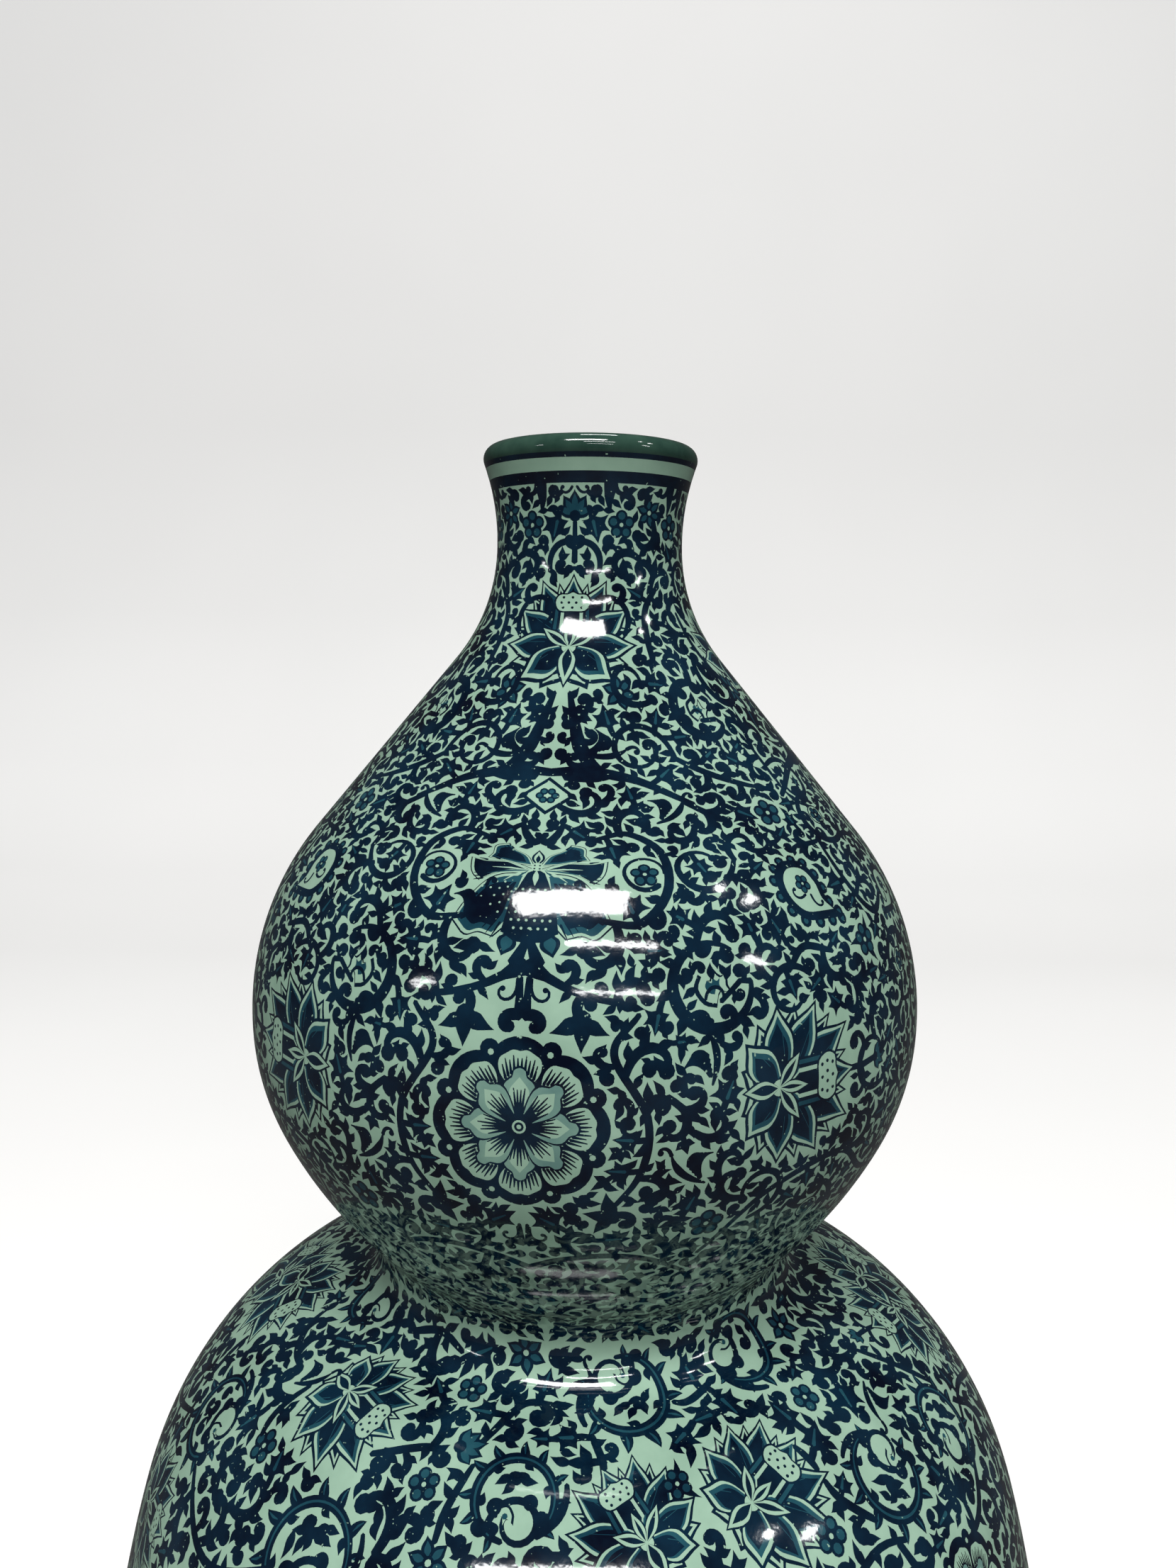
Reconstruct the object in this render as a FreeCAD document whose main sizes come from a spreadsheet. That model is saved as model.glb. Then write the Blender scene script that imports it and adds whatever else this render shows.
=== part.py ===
import FreeCAD, Part
import os

import Sketcher

os.makedirs("parts", exist_ok=True)
doc = FreeCAD.newDocument("DoubleGourdVase")
origin = FreeCAD.Vector(0, 0, 0)

# Driving sizes, in millimetres, and turns in degrees. Radii of the bulbs, waist and neck are
# measured over the glaze. A curve is the radius of an arc of the outline, also over the glaze.
driving_sizes = {
    # foot and floor
    "foot_radius": 50,
    "foot_width": 7,
    "foot_height": 8,
    "foot_edge": 1.2,
    "bare_height": 2.5,
    "floor_thickness": 7,
    # potting
    "wall": 4.2,
    "glaze": 0.4,
    "slip": 0.6,
    # lower bulb
    "lower_radius": 94.9,
    "lower_height": 90,
    "side_curve": 234,
    "side_turn": 15.5,
    "shoulder_curve": 50.8,
    # waist
    "waist_radius": 40.3,
    "waist_curve": 7.7,
    # upper bulb
    "bowl_curve": 89.6,
    "belly_curve": 46.2,
    "belly_turn": 25.7,
    "upper_radius": 63.9,
    "cap_curve": 53,
    "slope_turn": 39.7,
    # neck and rim
    "neck_radius": 17.5,
    "neck_curve": 33.4,
    "flare_curve": 41.5,
    "rim_rise": 17.4,
}

# Centres and heights that follow from the sizes, so that neighbouring arcs meet tangentially.
# Each pair of sections meets at a short upright land, as high as the slip that joins them.
worked_out = {
    # the lower bowl's arc: upright at the widest ring, and through the foot ring's top edge
    "base_drop": "Sizes.lower_height - Sizes.foot_height",
    "base_run": "Sizes.lower_radius - Sizes.glaze - Sizes.foot_radius",
    "base_curve": "(base_run^2 + base_drop^2) / (2 * base_run) + Sizes.glaze",
    "base_x": "Sizes.lower_radius - base_curve",
    "glazed_foot_radius": "Sizes.foot_radius + Sizes.glaze",
    "glazed_foot_z": "Sizes.lower_height - sqrt(base_curve^2 - (glazed_foot_radius - base_x)^2)",
    # side and shoulder of the lower bulb, and the hollow of the waist
    "side_x": "Sizes.lower_radius - Sizes.side_curve",
    "side_z": "Sizes.lower_height + Sizes.slip",
    "shoulder_x": "side_x + (Sizes.side_curve - Sizes.shoulder_curve) * cos(Sizes.side_turn)",
    "shoulder_z": "side_z + (Sizes.side_curve - Sizes.shoulder_curve) * sin(Sizes.side_turn)",
    "waist_x": "Sizes.waist_radius + Sizes.waist_curve",
    "waist_reach": "Sizes.shoulder_curve + Sizes.waist_curve",
    "waist_z": "shoulder_z + sqrt(waist_reach^2 - (waist_x - shoulder_x)^2)",
    "shoulder_turn": "acos((waist_x - shoulder_x) / waist_reach)",
    "waist_top": "waist_z + Sizes.slip",
    # bowl and belly of the upper bulb
    "belly_x": "Sizes.upper_radius - Sizes.belly_curve",
    "bowl_x": "belly_x - (Sizes.bowl_curve - Sizes.belly_curve) * cos(Sizes.belly_turn)",
    "bowl_reach": "Sizes.bowl_curve + Sizes.waist_curve",
    "bowl_z": "waist_top + sqrt(bowl_reach^2 - (waist_x - bowl_x)^2)",
    "bowl_turn": "acos((waist_x - bowl_x) / bowl_reach)",
    "belly_z": "bowl_z - (Sizes.bowl_curve - Sizes.belly_curve) * sin(Sizes.belly_turn)",
    # cap of the upper bulb, its straight slope, and the hollow of the neck
    "cap_x": "Sizes.upper_radius - Sizes.cap_curve",
    "cap_z": "belly_z + Sizes.slip",
    "neck_x": "Sizes.neck_radius + Sizes.neck_curve",
    "slope_run": "cap_x - neck_x + (Sizes.cap_curve + Sizes.neck_curve) * cos(Sizes.slope_turn)",
    "slope_rise": "slope_run / tan(Sizes.slope_turn)",
    "neck_z": "cap_z + slope_rise + (Sizes.cap_curve + Sizes.neck_curve) * sin(Sizes.slope_turn)",
    # flare of the neck, and the rim, which is the wall rounded over
    "flare_x": "Sizes.neck_radius + Sizes.flare_curve",
    "flare_z": "neck_z + Sizes.slip",
    "rim_round": "Sizes.wall / 2 + Sizes.glaze",
    "rim_z": "flare_z + Sizes.rim_rise - rim_round",
    "rim_reach": "Sizes.flare_curve + rim_round",
    "flare_turn": "asin((rim_z - flare_z) / rim_reach)",
    "rim_x": "flare_x - rim_reach * cos(flare_turn)",
}


def fill_sheet(name, cells):
    sheet = doc.addObject("Spreadsheet::Sheet", name)
    for row, (alias, content) in enumerate(cells.items(), start=1):
        sheet.set(f"A{row}", alias)
        sheet.set(f"B{row}", content)
        sheet.setAlias(f"B{row}", alias)
    doc.recompute()
    return sheet


sizes = fill_sheet("Sizes", {alias: str(value) for alias, value in driving_sizes.items()})
outline = fill_sheet("Outline", {alias: "=" + formula for alias, formula in worked_out.items()})


def worked_value(expression):
    return float(outline.evalExpression(expression))


# Depths below the glazed surface, for the clay's outside, its inside, and the lining's face.
clay_outside = "Sizes.glaze"
clay_inside = "(Sizes.glaze + Sizes.wall)"
lining_face = "(2 * Sizes.glaze + Sizes.wall)"


# A corner is (radius, height, curve). The curve runs to the next corner: None for a straight
# line, or an arc's radius and the side on which its centre lies, towards the axis or away.
def full_curve(radius, depth):
    return (f"{radius} - {depth}", "towards_axis")


def hollow_curve(radius, depth):
    return (f"{radius} + {depth}", "away_from_axis")


def on_full_curve(name, height, turn, depth, way, curve):
    reach = f"(Sizes.{name}_curve - {depth})"
    return (f"Outline.{name}_x + {reach} * cos({turn})", f"{height} {way} {reach} * sin({turn})", curve)


def on_hollow_curve(name, height, turn, depth, way, curve):
    reach = f"(Sizes.{name}_curve + {depth})"
    return (f"Outline.{name}_x - {reach} * cos({turn})", f"{height} {way} {reach} * sin({turn})", curve)


def stations(depth):
    """Corners of the outline from the lower bulb's widest ring to the rim, depth under the glaze."""
    lower, upper = f"Sizes.lower_radius - {depth}", f"Sizes.upper_radius - {depth}"
    waist, neck = f"Sizes.waist_radius - {depth}", f"Sizes.neck_radius - {depth}"
    side = full_curve("Sizes.side_curve", depth)
    shoulder = full_curve("Sizes.shoulder_curve", depth)
    hollow = hollow_curve("Sizes.waist_curve", depth)
    bowl = full_curve("Sizes.bowl_curve", depth)
    belly = full_curve("Sizes.belly_curve", depth)
    cap = full_curve("Sizes.cap_curve", depth)
    neck_hollow = hollow_curve("Sizes.neck_curve", depth)
    flare = hollow_curve("Sizes.flare_curve", depth)
    return [
        (lower, "Sizes.lower_height", None),
        (lower, "Outline.side_z", side),
        on_full_curve("side", "Outline.side_z", "Sizes.side_turn", depth, "+", shoulder),
        on_full_curve("shoulder", "Outline.shoulder_z", "Outline.shoulder_turn", depth, "+", hollow),
        (waist, "Outline.waist_z", None),
        (waist, "Outline.waist_top", hollow),
        on_full_curve("bowl", "Outline.bowl_z", "Outline.bowl_turn", depth, "-", bowl),
        on_full_curve("belly", "Outline.belly_z", "Sizes.belly_turn", depth, "-", belly),
        (upper, "Outline.belly_z", None),
        (upper, "Outline.cap_z", cap),
        on_full_curve("cap", "Outline.cap_z", "Sizes.slope_turn", depth, "+", None),
        on_hollow_curve("neck", "Outline.neck_z", "Sizes.slope_turn", depth, "-", neck_hollow),
        (neck, "Outline.neck_z", None),
        (neck, "Outline.flare_z", flare),
        on_hollow_curve("flare", "Outline.flare_z", "Outline.flare_turn", depth, "+", None),
    ]


# The names of those corners, in the same order.
station_order = [
    "lower_belly", "side_start", "side_end", "shoulder_end", "waist", "waist_end", "bowl_start", "belly_start",
    "upper_belly", "cap_start", "slope_start", "slope_end", "neck", "flare_start", "rim",
]


def stretch(depth, first, last):
    corners = [corner for name, corner in zip(station_order, stations(depth))
               if station_order.index(first) <= station_order.index(name) <= station_order.index(last)]
    corners[-1] = (*corners[-1][:2], None)
    return corners


def reverse(corners):
    curves = [None] + [curve for _, _, curve in corners[:-1]]
    return [(x, z, curve) for (x, z, _), curve in zip(reversed(corners), reversed(curves))]


def turning_into(corners, curve):
    """The same corners, with this curve from the last one to whatever comes next."""
    return corners[:-1] + [(*corners[-1][:2], curve)]


def arc_between(start, end, radius, side):
    middle, half = (start + end) / 2, (end - start).Length / 2
    across = FreeCAD.Vector(start.y - end.y, end.x - start.x, 0).normalize()
    if (across.x > 0) == (side == "towards_axis"):
        across = -across
    centre = middle + across * (radius**2 - half**2)**0.5
    return Part.Arc(start, centre - across * radius, end)


def draw_outline(sketch, corners):
    points = [FreeCAD.Vector(worked_value(x), worked_value(z), 0) for x, z, _ in corners]
    starts, ends = [], []
    for number, (x, z, curve) in enumerate(corners):
        start, end = points[number], points[(number + 1) % len(points)]
        if curve is None:
            edge = sketch.addGeometry(Part.LineSegment(start, end))
        else:
            radius, side = curve
            edge = sketch.addGeometry(arc_between(start, end, worked_value(radius), side))
            fixed = sketch.addConstraint(Sketcher.Constraint("Radius", edge, worked_value(radius)))
            sketch.setExpression(f"Constraints[{fixed}]", radius)
        forward = (sketch.getPoint(edge, 1) - start).Length < (sketch.getPoint(edge, 2) - start).Length
        starts.append((edge, 1 if forward else 2))
        ends.append((edge, 2 if forward else 1))
    for number, (x, z, _) in enumerate(corners):
        sketch.addConstraint(Sketcher.Constraint("Coincident", *ends[number - 1], *starts[number]))
        for kind, text, axis in (("DistanceX", x, -2), ("DistanceY", z, -1)):
            if text == "0":
                sketch.addConstraint(Sketcher.Constraint("PointOnObject", *starts[number], axis))
            else:
                placed = Sketcher.Constraint(kind, -1, 1, *starts[number], worked_value(text))
                fixed = sketch.addConstraint(placed)
                sketch.setExpression(f"Constraints[{fixed}]", text)


def turned_piece(name, corners):
    """A body turned about the vase's axis from one closed outline."""
    body = doc.addObject("PartDesign::Body", name)
    body.Label = name
    sketch = body.newObject("Sketcher::SketchObject", name + "_outline")
    upright = next(plane for plane in body.Origin.OriginFeatures if plane.Role == "XZ_Plane")
    sketch.AttachmentSupport = [(upright, "")]
    sketch.MapMode = "FlatFace"
    draw_outline(sketch, corners)
    doc.recompute()
    turned = body.newObject("PartDesign::Revolution", name + "_turned")
    turned.Profile = sketch
    turned.ReferenceAxis = (sketch, ["V_Axis"])
    turned.Angle = 360
    sketch.Visibility = False
    body.Placement = FreeCAD.Placement(origin, FreeCAD.Rotation())
    doc.recompute()
    return body


def wall_section(name, first, last):
    return turned_piece(name, stretch(clay_outside, first, last) + reverse(stretch(clay_inside, first, last)))


# The arc of the lower bowl runs on below the widest ring, down to the foot or to a level floor.
def base_arc(depth):
    return (f"Outline.base_curve - {depth}", "towards_axis")


def on_floor(depth, height):
    rise = f"(Sizes.lower_height - {height})"
    return f"Outline.base_x + sqrt((Outline.base_curve - {depth})^2 - {rise}^2)"


foot_inside = "Sizes.foot_radius - Sizes.foot_width"
foot_ring_top = "Sizes.foot_height - Sizes.slip"
floor_top = "(Sizes.foot_height + Sizes.floor_thickness)"
lining_top = "(Sizes.foot_height + Sizes.floor_thickness + Sizes.glaze)"


def make_foot_ring():
    edge = ("Sizes.foot_edge", "away_from_axis"), ("Sizes.foot_edge", "towards_axis")
    return turned_piece("foot_ring", [
        (foot_inside, "Sizes.foot_edge", edge[0]),
        (f"{foot_inside} + Sizes.foot_edge", "0", None),
        ("Sizes.foot_radius - Sizes.foot_edge", "0", edge[1]),
        ("Sizes.foot_radius", "Sizes.foot_edge", None),
        ("Sizes.foot_radius", foot_ring_top, None),
        (foot_inside, foot_ring_top, None),
    ])


def flat_ring(name, inside, outside, low, high):
    corners = [(inside, low, None), (outside, low, None), (outside, high, None), (inside, high, None)]
    return turned_piece(name, corners)


def slip_ring(name, first, last):
    (outside, low, _), (_, high, _) = stretch(clay_outside, first, last)
    inside = stretch(clay_inside, first, first)[0][0]
    return flat_ring(name, inside, outside, low, high)


def make_lower_bowl():
    return turned_piece("lower_bulb_bowl", [
        ("0", "Sizes.foot_height", None),
        ("Sizes.foot_radius", "Sizes.foot_height", base_arc(clay_outside)),
        *stretch(clay_outside, "lower_belly", "lower_belly"),
        *turning_into(stretch(clay_inside, "lower_belly", "lower_belly"), base_arc(clay_inside)),
        (on_floor(clay_inside, floor_top), floor_top, None),
        ("0", floor_top, None),
    ])


# The rim's crown, where the arc from outside and the arc from inside meet.
def crown(round_radius, curve):
    return ("Outline.rim_x", f"Outline.rim_z + {round_radius}", curve)


clay_rim = "Sizes.wall / 2"
glazed_rim = "Outline.rim_round"


def make_neck():
    return turned_piece("neck_and_lip", [
        *turning_into(stretch(clay_outside, "flare_start", "rim"), (clay_rim, "towards_axis")),
        crown(clay_rim, (clay_rim, "away_from_axis")),
        *reverse(stretch(clay_inside, "flare_start", "rim")),
    ])


def make_outer_glaze():
    return turned_piece("outer_glaze", [
        ("Sizes.foot_radius", "Sizes.bare_height", None),
        ("Outline.glazed_foot_radius", "Sizes.bare_height", None),
        ("Outline.glazed_foot_radius", "Outline.glazed_foot_z", base_arc("0")),
        *turning_into(stretch("0", "lower_belly", "rim"), (glazed_rim, "towards_axis")),
        crown(glazed_rim, None),
        crown(clay_rim, (clay_rim, "towards_axis")),
        *turning_into(reverse(stretch(clay_outside, "lower_belly", "rim")), base_arc(clay_outside)),
        ("Sizes.foot_radius", "Sizes.foot_height", None),
    ])


def make_inner_glaze():
    return turned_piece("inner_glaze", [
        crown(glazed_rim, (glazed_rim, "away_from_axis")),
        *turning_into(reverse(stretch(lining_face, "lower_belly", "rim")), base_arc(lining_face)),
        (on_floor(lining_face, lining_top), lining_top, None),
        ("0", lining_top, None),
        ("0", floor_top, None),
        (on_floor(clay_inside, floor_top), floor_top, base_arc(clay_inside)),
        *turning_into(stretch(clay_inside, "lower_belly", "rim"), (clay_rim, "away_from_axis")),
        crown(clay_rim, None),
    ])


pieces = [
    make_foot_ring(),
    flat_ring("foot_slip", foot_inside, "Sizes.foot_radius", foot_ring_top, "Sizes.foot_height"),
    flat_ring("base_glaze", "0", foot_inside, "Sizes.foot_height - Sizes.glaze", "Sizes.foot_height"),
    make_lower_bowl(),
    slip_ring("lower_belly_slip", "lower_belly", "side_start"),
    wall_section("lower_bulb_shoulder", "side_start", "waist"),
    slip_ring("waist_slip", "waist", "waist_end"),
    wall_section("upper_bulb_bowl", "waist_end", "upper_belly"),
    slip_ring("upper_belly_slip", "upper_belly", "cap_start"),
    wall_section("upper_bulb_shoulder", "cap_start", "neck"),
    slip_ring("neck_slip", "neck", "flare_start"),
    make_neck(),
    make_outer_glaze(),
    make_inner_glaze(),
]

failed = [item.Name for item in doc.Objects if {"Invalid", "Error"} & set(item.State)]
if failed:
    raise RuntimeError("failed objects: " + ", ".join(failed))
for piece in pieces:
    if piece.Shape.isNull() or not piece.Shape.isValid() or len(piece.Shape.Solids) != 1:
        raise RuntimeError("bad shape: " + piece.Label)

for piece in pieces:
    piece.Shape.exportStep(f"parts/{piece.Label}.step")
    box = piece.Shape.optimalBoundingBox(False, False)
    print(f"{piece.Label}: {piece.Shape.Volume:.0f} mm3, from {box.ZMin:.2f} to {box.ZMax:.2f} mm")
print(f"whole height {worked_value('Outline.rim_z + Outline.rim_round'):.1f} mm")
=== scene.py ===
import math
import random
import time
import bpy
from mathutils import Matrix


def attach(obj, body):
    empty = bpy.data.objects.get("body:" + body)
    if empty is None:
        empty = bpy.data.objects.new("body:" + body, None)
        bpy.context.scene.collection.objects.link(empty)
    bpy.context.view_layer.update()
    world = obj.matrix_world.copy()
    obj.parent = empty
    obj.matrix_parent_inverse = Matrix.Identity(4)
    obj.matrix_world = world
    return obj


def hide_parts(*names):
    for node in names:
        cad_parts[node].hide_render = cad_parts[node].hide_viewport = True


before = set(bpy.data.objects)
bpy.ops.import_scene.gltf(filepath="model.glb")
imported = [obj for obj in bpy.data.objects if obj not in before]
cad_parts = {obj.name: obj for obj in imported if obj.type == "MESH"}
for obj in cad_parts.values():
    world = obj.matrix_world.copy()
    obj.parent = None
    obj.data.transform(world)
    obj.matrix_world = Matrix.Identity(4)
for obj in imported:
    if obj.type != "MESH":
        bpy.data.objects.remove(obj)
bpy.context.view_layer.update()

from types import SimpleNamespace

import bpy
import numpy as np
from mathutils import Matrix, Vector
from mathutils.geometry import delaunay_2d_cdt

startTime = time.time()
mm = 0.001                      # the painting is laid out in millimetres, the meshes are in metres

# The turned form, as the solids have it: millimetres and degrees, radii over the glaze.
vaseForm = {
    "footRadius": 50, "footWidth": 7, "footHeight": 8, "footEdge": 1.2, "bareHeight": 2.5,
    "floorThickness": 7, "wall": 4.2, "glaze": 0.4, "joint": 0.6,
    "lowerRadius": 94.9, "lowerHeight": 90, "sideCurve": 234, "sideTurn": 15.5, "shoulderCurve": 50.8,
    "waistRadius": 40.3, "waistCurve": 7.7,
    "bowlCurve": 89.6, "bellyCurve": 46.2, "bellyTurn": 25.7, "upperRadius": 63.9,
    "capCurve": 53, "slopeTurn": 39.7,
    "neckRadius": 17.5, "neckCurve": 33.4, "flareCurve": 41.5, "rimRise": 17.4,
    "pathStep": 0.4,            # spacing of the sampled outline
    "glazePool": 1.6,           # hollow of glaze where the bowl meets the foot
}
form = SimpleNamespace(**vaseForm)


def cosD(turn):
    return math.cos(math.radians(turn))


def sinD(turn):
    return math.sin(math.radians(turn))


class Outline:
    # a path of radius and height with outward normals, walked from the foot upwards
    def __init__(self):
        self.rows = []

    def line(self, start, end):
        (r0, z0), (r1, z1) = start, end
        length = math.hypot(r1 - r0, z1 - z0)
        normal = ((z1 - z0) / length, (r0 - r1) / length)
        for k in np.linspace(0, 1, max(2, int(length / form.pathStep) + 1)):
            self.rows.append((r0 + k * (r1 - r0), z0 + k * (z1 - z0), *normal))

    def arc(self, x, z, radius, turns, hollow=False):
        # turns are degrees above level, seen from the arc's centre on the axis side or beyond the wall
        span = math.radians(abs(turns[1] - turns[0]))
        side = -1 if hollow else 1
        for turn in np.linspace(*np.radians(turns), max(4, int(span * radius / form.pathStep) + 1)):
            c, s = math.cos(turn), math.sin(turn)
            self.rows.append((x + side * radius * c, z + radius * s, c, side * s))

    def close(self):
        rows = np.array(self.rows)
        step = np.hypot(np.diff(rows[:, 0]), np.diff(rows[:, 1]))
        self.r, self.z, self.nr, self.nz = rows[np.concatenate([[True], step > 1e-6])].T
        step = np.hypot(np.diff(self.r), np.diff(self.z))
        middle = (self.r[1:] + self.r[:-1]) / 2
        self.s = np.concatenate([[0], np.cumsum(step)])
        self.v = np.concatenate([[0], np.cumsum(step / np.maximum(middle, 0.5))])
        return self


def solveForm(f):
    # centres of the arcs, so that each meets the next tangentially
    k = SimpleNamespace()
    drop, run = f.lowerHeight - f.footHeight, f.lowerRadius - f.glaze - f.footRadius
    k.baseCurve = (run**2 + drop**2) / (2 * run) + f.glaze
    k.baseX = f.lowerRadius - k.baseCurve
    k.sideX, k.sideZ = f.lowerRadius - f.sideCurve, f.lowerHeight + f.joint
    apart = f.sideCurve - f.shoulderCurve
    k.shoulderX, k.shoulderZ = k.sideX + apart * cosD(f.sideTurn), k.sideZ + apart * sinD(f.sideTurn)
    k.waistX = f.waistRadius + f.waistCurve
    reach = f.shoulderCurve + f.waistCurve
    k.waistZ = k.shoulderZ + math.sqrt(reach**2 - (k.waistX - k.shoulderX)**2)
    k.shoulderTurn = math.degrees(math.acos((k.waistX - k.shoulderX) / reach))
    k.waistTop = k.waistZ + f.joint
    apart = f.bowlCurve - f.bellyCurve
    k.bellyX = f.upperRadius - f.bellyCurve
    k.bowlX = k.bellyX - apart * cosD(f.bellyTurn)
    reach = f.bowlCurve + f.waistCurve
    k.bowlZ = k.waistTop + math.sqrt(reach**2 - (k.waistX - k.bowlX)**2)
    k.bowlTurn = math.degrees(math.acos((k.waistX - k.bowlX) / reach))
    k.bellyZ = k.bowlZ - apart * sinD(f.bellyTurn)
    k.capX, k.capZ = f.upperRadius - f.capCurve, k.bellyZ + f.joint
    k.neckX = f.neckRadius + f.neckCurve
    both = f.capCurve + f.neckCurve
    slopeRun = k.capX - k.neckX + both * cosD(f.slopeTurn)
    k.neckZ = k.capZ + slopeRun / math.tan(math.radians(f.slopeTurn)) + both * sinD(f.slopeTurn)
    k.flareX, k.flareZ = f.neckRadius + f.flareCurve, k.neckZ + f.joint
    k.rimRound = f.wall / 2 + f.glaze
    k.rimZ = k.flareZ + f.rimRise - k.rimRound
    k.flareTurn = math.degrees(math.asin((k.rimZ - k.flareZ) / (f.flareCurve + k.rimRound)))
    k.rimX = k.flareX - (f.flareCurve + k.rimRound) * cosD(k.flareTurn)
    return k


def traceWall(path, f, k, depth, baseTurn):
    # the arcs from the bowl's start to the flare, a depth in from the glaze's face
    for x, z, radius, turns, hollow in (
            (k.baseX, f.lowerHeight, k.baseCurve, (-baseTurn, 0), False),
            (k.sideX, k.sideZ, f.sideCurve, (0, f.sideTurn), False),
            (k.shoulderX, k.shoulderZ, f.shoulderCurve, (f.sideTurn, k.shoulderTurn), False),
            (k.waistX, k.waistZ, f.waistCurve, (-k.shoulderTurn, 0), True),
            (k.waistX, k.waistTop, f.waistCurve, (0, k.bowlTurn), True),
            (k.bowlX, k.bowlZ, f.bowlCurve, (-k.bowlTurn, -f.bellyTurn), False),
            (k.bellyX, k.bellyZ, f.bellyCurve, (-f.bellyTurn, 0), False),
            (k.capX, k.capZ, f.capCurve, (0, f.slopeTurn), False),
            (k.neckX, k.neckZ, f.neckCurve, (-f.slopeTurn, 0), True),
            (k.flareX, k.flareZ, f.flareCurve, (0, k.flareTurn), True)):
        path.arc(x, z, radius + (depth if hollow else -depth), turns, hollow)


def traceOutside(f, k):
    path = Outline()
    outer = f.footRadius + f.glaze
    path.line((f.footRadius, f.bareHeight), (outer, f.bareHeight))
    # the pool's centre lies a pool's radius off the foot's wall and off the bowl's arc
    poolX = outer + f.glazePool
    poolZ = f.lowerHeight - math.sqrt((k.baseCurve + f.glazePool)**2 - (poolX - k.baseX)**2)
    poolTurn = math.degrees(math.atan2(f.lowerHeight - poolZ, poolX - k.baseX))
    path.line((outer, f.bareHeight), (outer, poolZ))
    path.arc(poolX, poolZ, f.glazePool, (0, poolTurn), hollow=True)
    traceWall(path, f, k, 0, poolTurn)
    path.arc(k.rimX, k.rimZ, k.rimRound, (-k.flareTurn, 90))
    return path.close()


def traceInside(f, k):
    # the lining, from the floor's middle up to the rim's crown
    path = Outline()
    depth = 2 * f.glaze + f.wall
    floorZ = f.footHeight + f.floorThickness + f.glaze
    floorTurn = math.degrees(math.asin((f.lowerHeight - floorZ) / (k.baseCurve - depth)))
    path.line((0.01, floorZ), (k.baseX + (k.baseCurve - depth) * cosD(floorTurn), floorZ))
    traceWall(path, f, k, depth, floorTurn)
    path.arc(k.rimX, k.rimZ, k.rimRound, (-k.flareTurn, -90), hollow=True)
    return path.close()


solved = solveForm(form)
outside, inside = traceOutside(form, solved), traceInside(form, solved)
print("outline:", len(outside.r), "steps, height", round(outside.z.max(), 2), "mm")

# The painting lies in a plane where shapes keep their form: u is the turn about the axis and v the
# distance along the outline divided by the radius, both times this width.
planeScale = 64.0


def planeHeight(height):
    return planeScale * float(np.interp(height, outside.z, outside.v))


def radiusAt(v):
    return float(np.interp(v / planeScale, outside.v, outside.r))


def spot(angle, height):
    v = planeHeight(height)
    return math.radians(angle) * planeScale, v, radiusAt(v)


# Brush shapes. Each gives closed outlines in millimetres with an ink: the later ones cover the earlier.
pen = {"weight": 1.0}


def hermite(p0, p1, m0, m1, count):
    t = np.arange(count)[:, None] / count
    return ((2 * t**3 - 3 * t**2 + 1) * p0 + (t**3 - 2 * t**2 + t) * m0
            + (-2 * t**3 + 3 * t**2) * p1 + (t**3 - t**2) * m1)


def curve(points, sharp=(), closed=True, perSpan=5):
    p = np.asarray(points, float)
    n = len(p)
    out = []
    for i in range(n if closed else n - 1):
        j = (i + 1) % n
        m0, m1 = (p[j] - p[i - 1]) / 2, (p[(j + 1) % n] - p[i]) / 2
        if i in sharp or (not closed and i == 0):
            m0 = p[j] - p[i]
        if j in sharp or (not closed and j == n - 1):
            m1 = p[j] - p[i]
        out.append(hermite(p[i], p[j], m0, m1, perSpan))
    return np.vstack(out if closed else out + [p[-1:]])


def polar(radius, turn):
    return radius * cosD(turn), radius * sinD(turn)


def headingOf(step):
    return math.degrees(math.atan2(step[1], step[0]))


def wayAndSide(line):
    # unit steps along a line, and the same turned to its left
    way = np.gradient(line, axis=0)
    way /= np.maximum(np.hypot(*way.T), 1e-9)[:, None]
    return way, np.column_stack([-way[:, 1], way[:, 0]])


def disc(x, y, radius, count=12):
    t = np.arange(count) / count * 2 * math.pi
    return np.column_stack([x + radius * np.cos(t), y + radius * np.sin(t)])


def dot(x, y, radius, count=10, ink="navy"):
    return [(disc(x, y, radius, count), ink)]


def stroke(line, widths, ink="navy"):
    # along a line of points, as wide at each as the widths spread over it
    line = np.asarray(line, float)
    shares, stops = np.linspace(0, 1, len(line)), np.linspace(0, 1, len(widths))
    half = np.interp(shares, stops, widths)[:, None] / 2 * pen["weight"]
    way, side = wayAndSide(line)
    startCap = line[:1] - way[:1] * half[:1] * 0.8
    endCap = line[-1:] + way[-1:] * half[-1:] * 0.8
    return [(np.vstack([line + side * half, endCap, (line - side * half)[::-1], startCap]), ink)]


def stem(points, widths, perSpan=6):
    return stroke(curve(points, closed=False, perSpan=perSpan), widths)


def spiral(x, y, heading, length, turn, tighten=0.7, count=12):
    # a line that starts in the heading and turns ever more tightly
    t = np.linspace(0, 1, count)
    angle = np.radians(heading + turn * t**(1 + tighten))
    step = length / (count - 1)
    walk = [np.concatenate([[0], np.cumsum((f(angle) * step)[:-1])]) for f in (np.cos, np.sin)]
    return np.column_stack([x + walk[0], y + walk[1]])


def hook(x, y, heading, length, turn, widths=(1.5, 1.1, 0.6), knob=0.75, tighten=0.7):
    line = spiral(x, y, heading, length, turn, tighten)
    shapes = stroke(line, widths)
    if knob:
        way = line[-1] - line[-2]
        normal = np.array([-way[1], way[0]]) / max(np.hypot(*way), 1e-9) * math.copysign(knob * 0.55, turn)
        shapes += dot(*(line[-1] + normal), knob)
    return shapes


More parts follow.
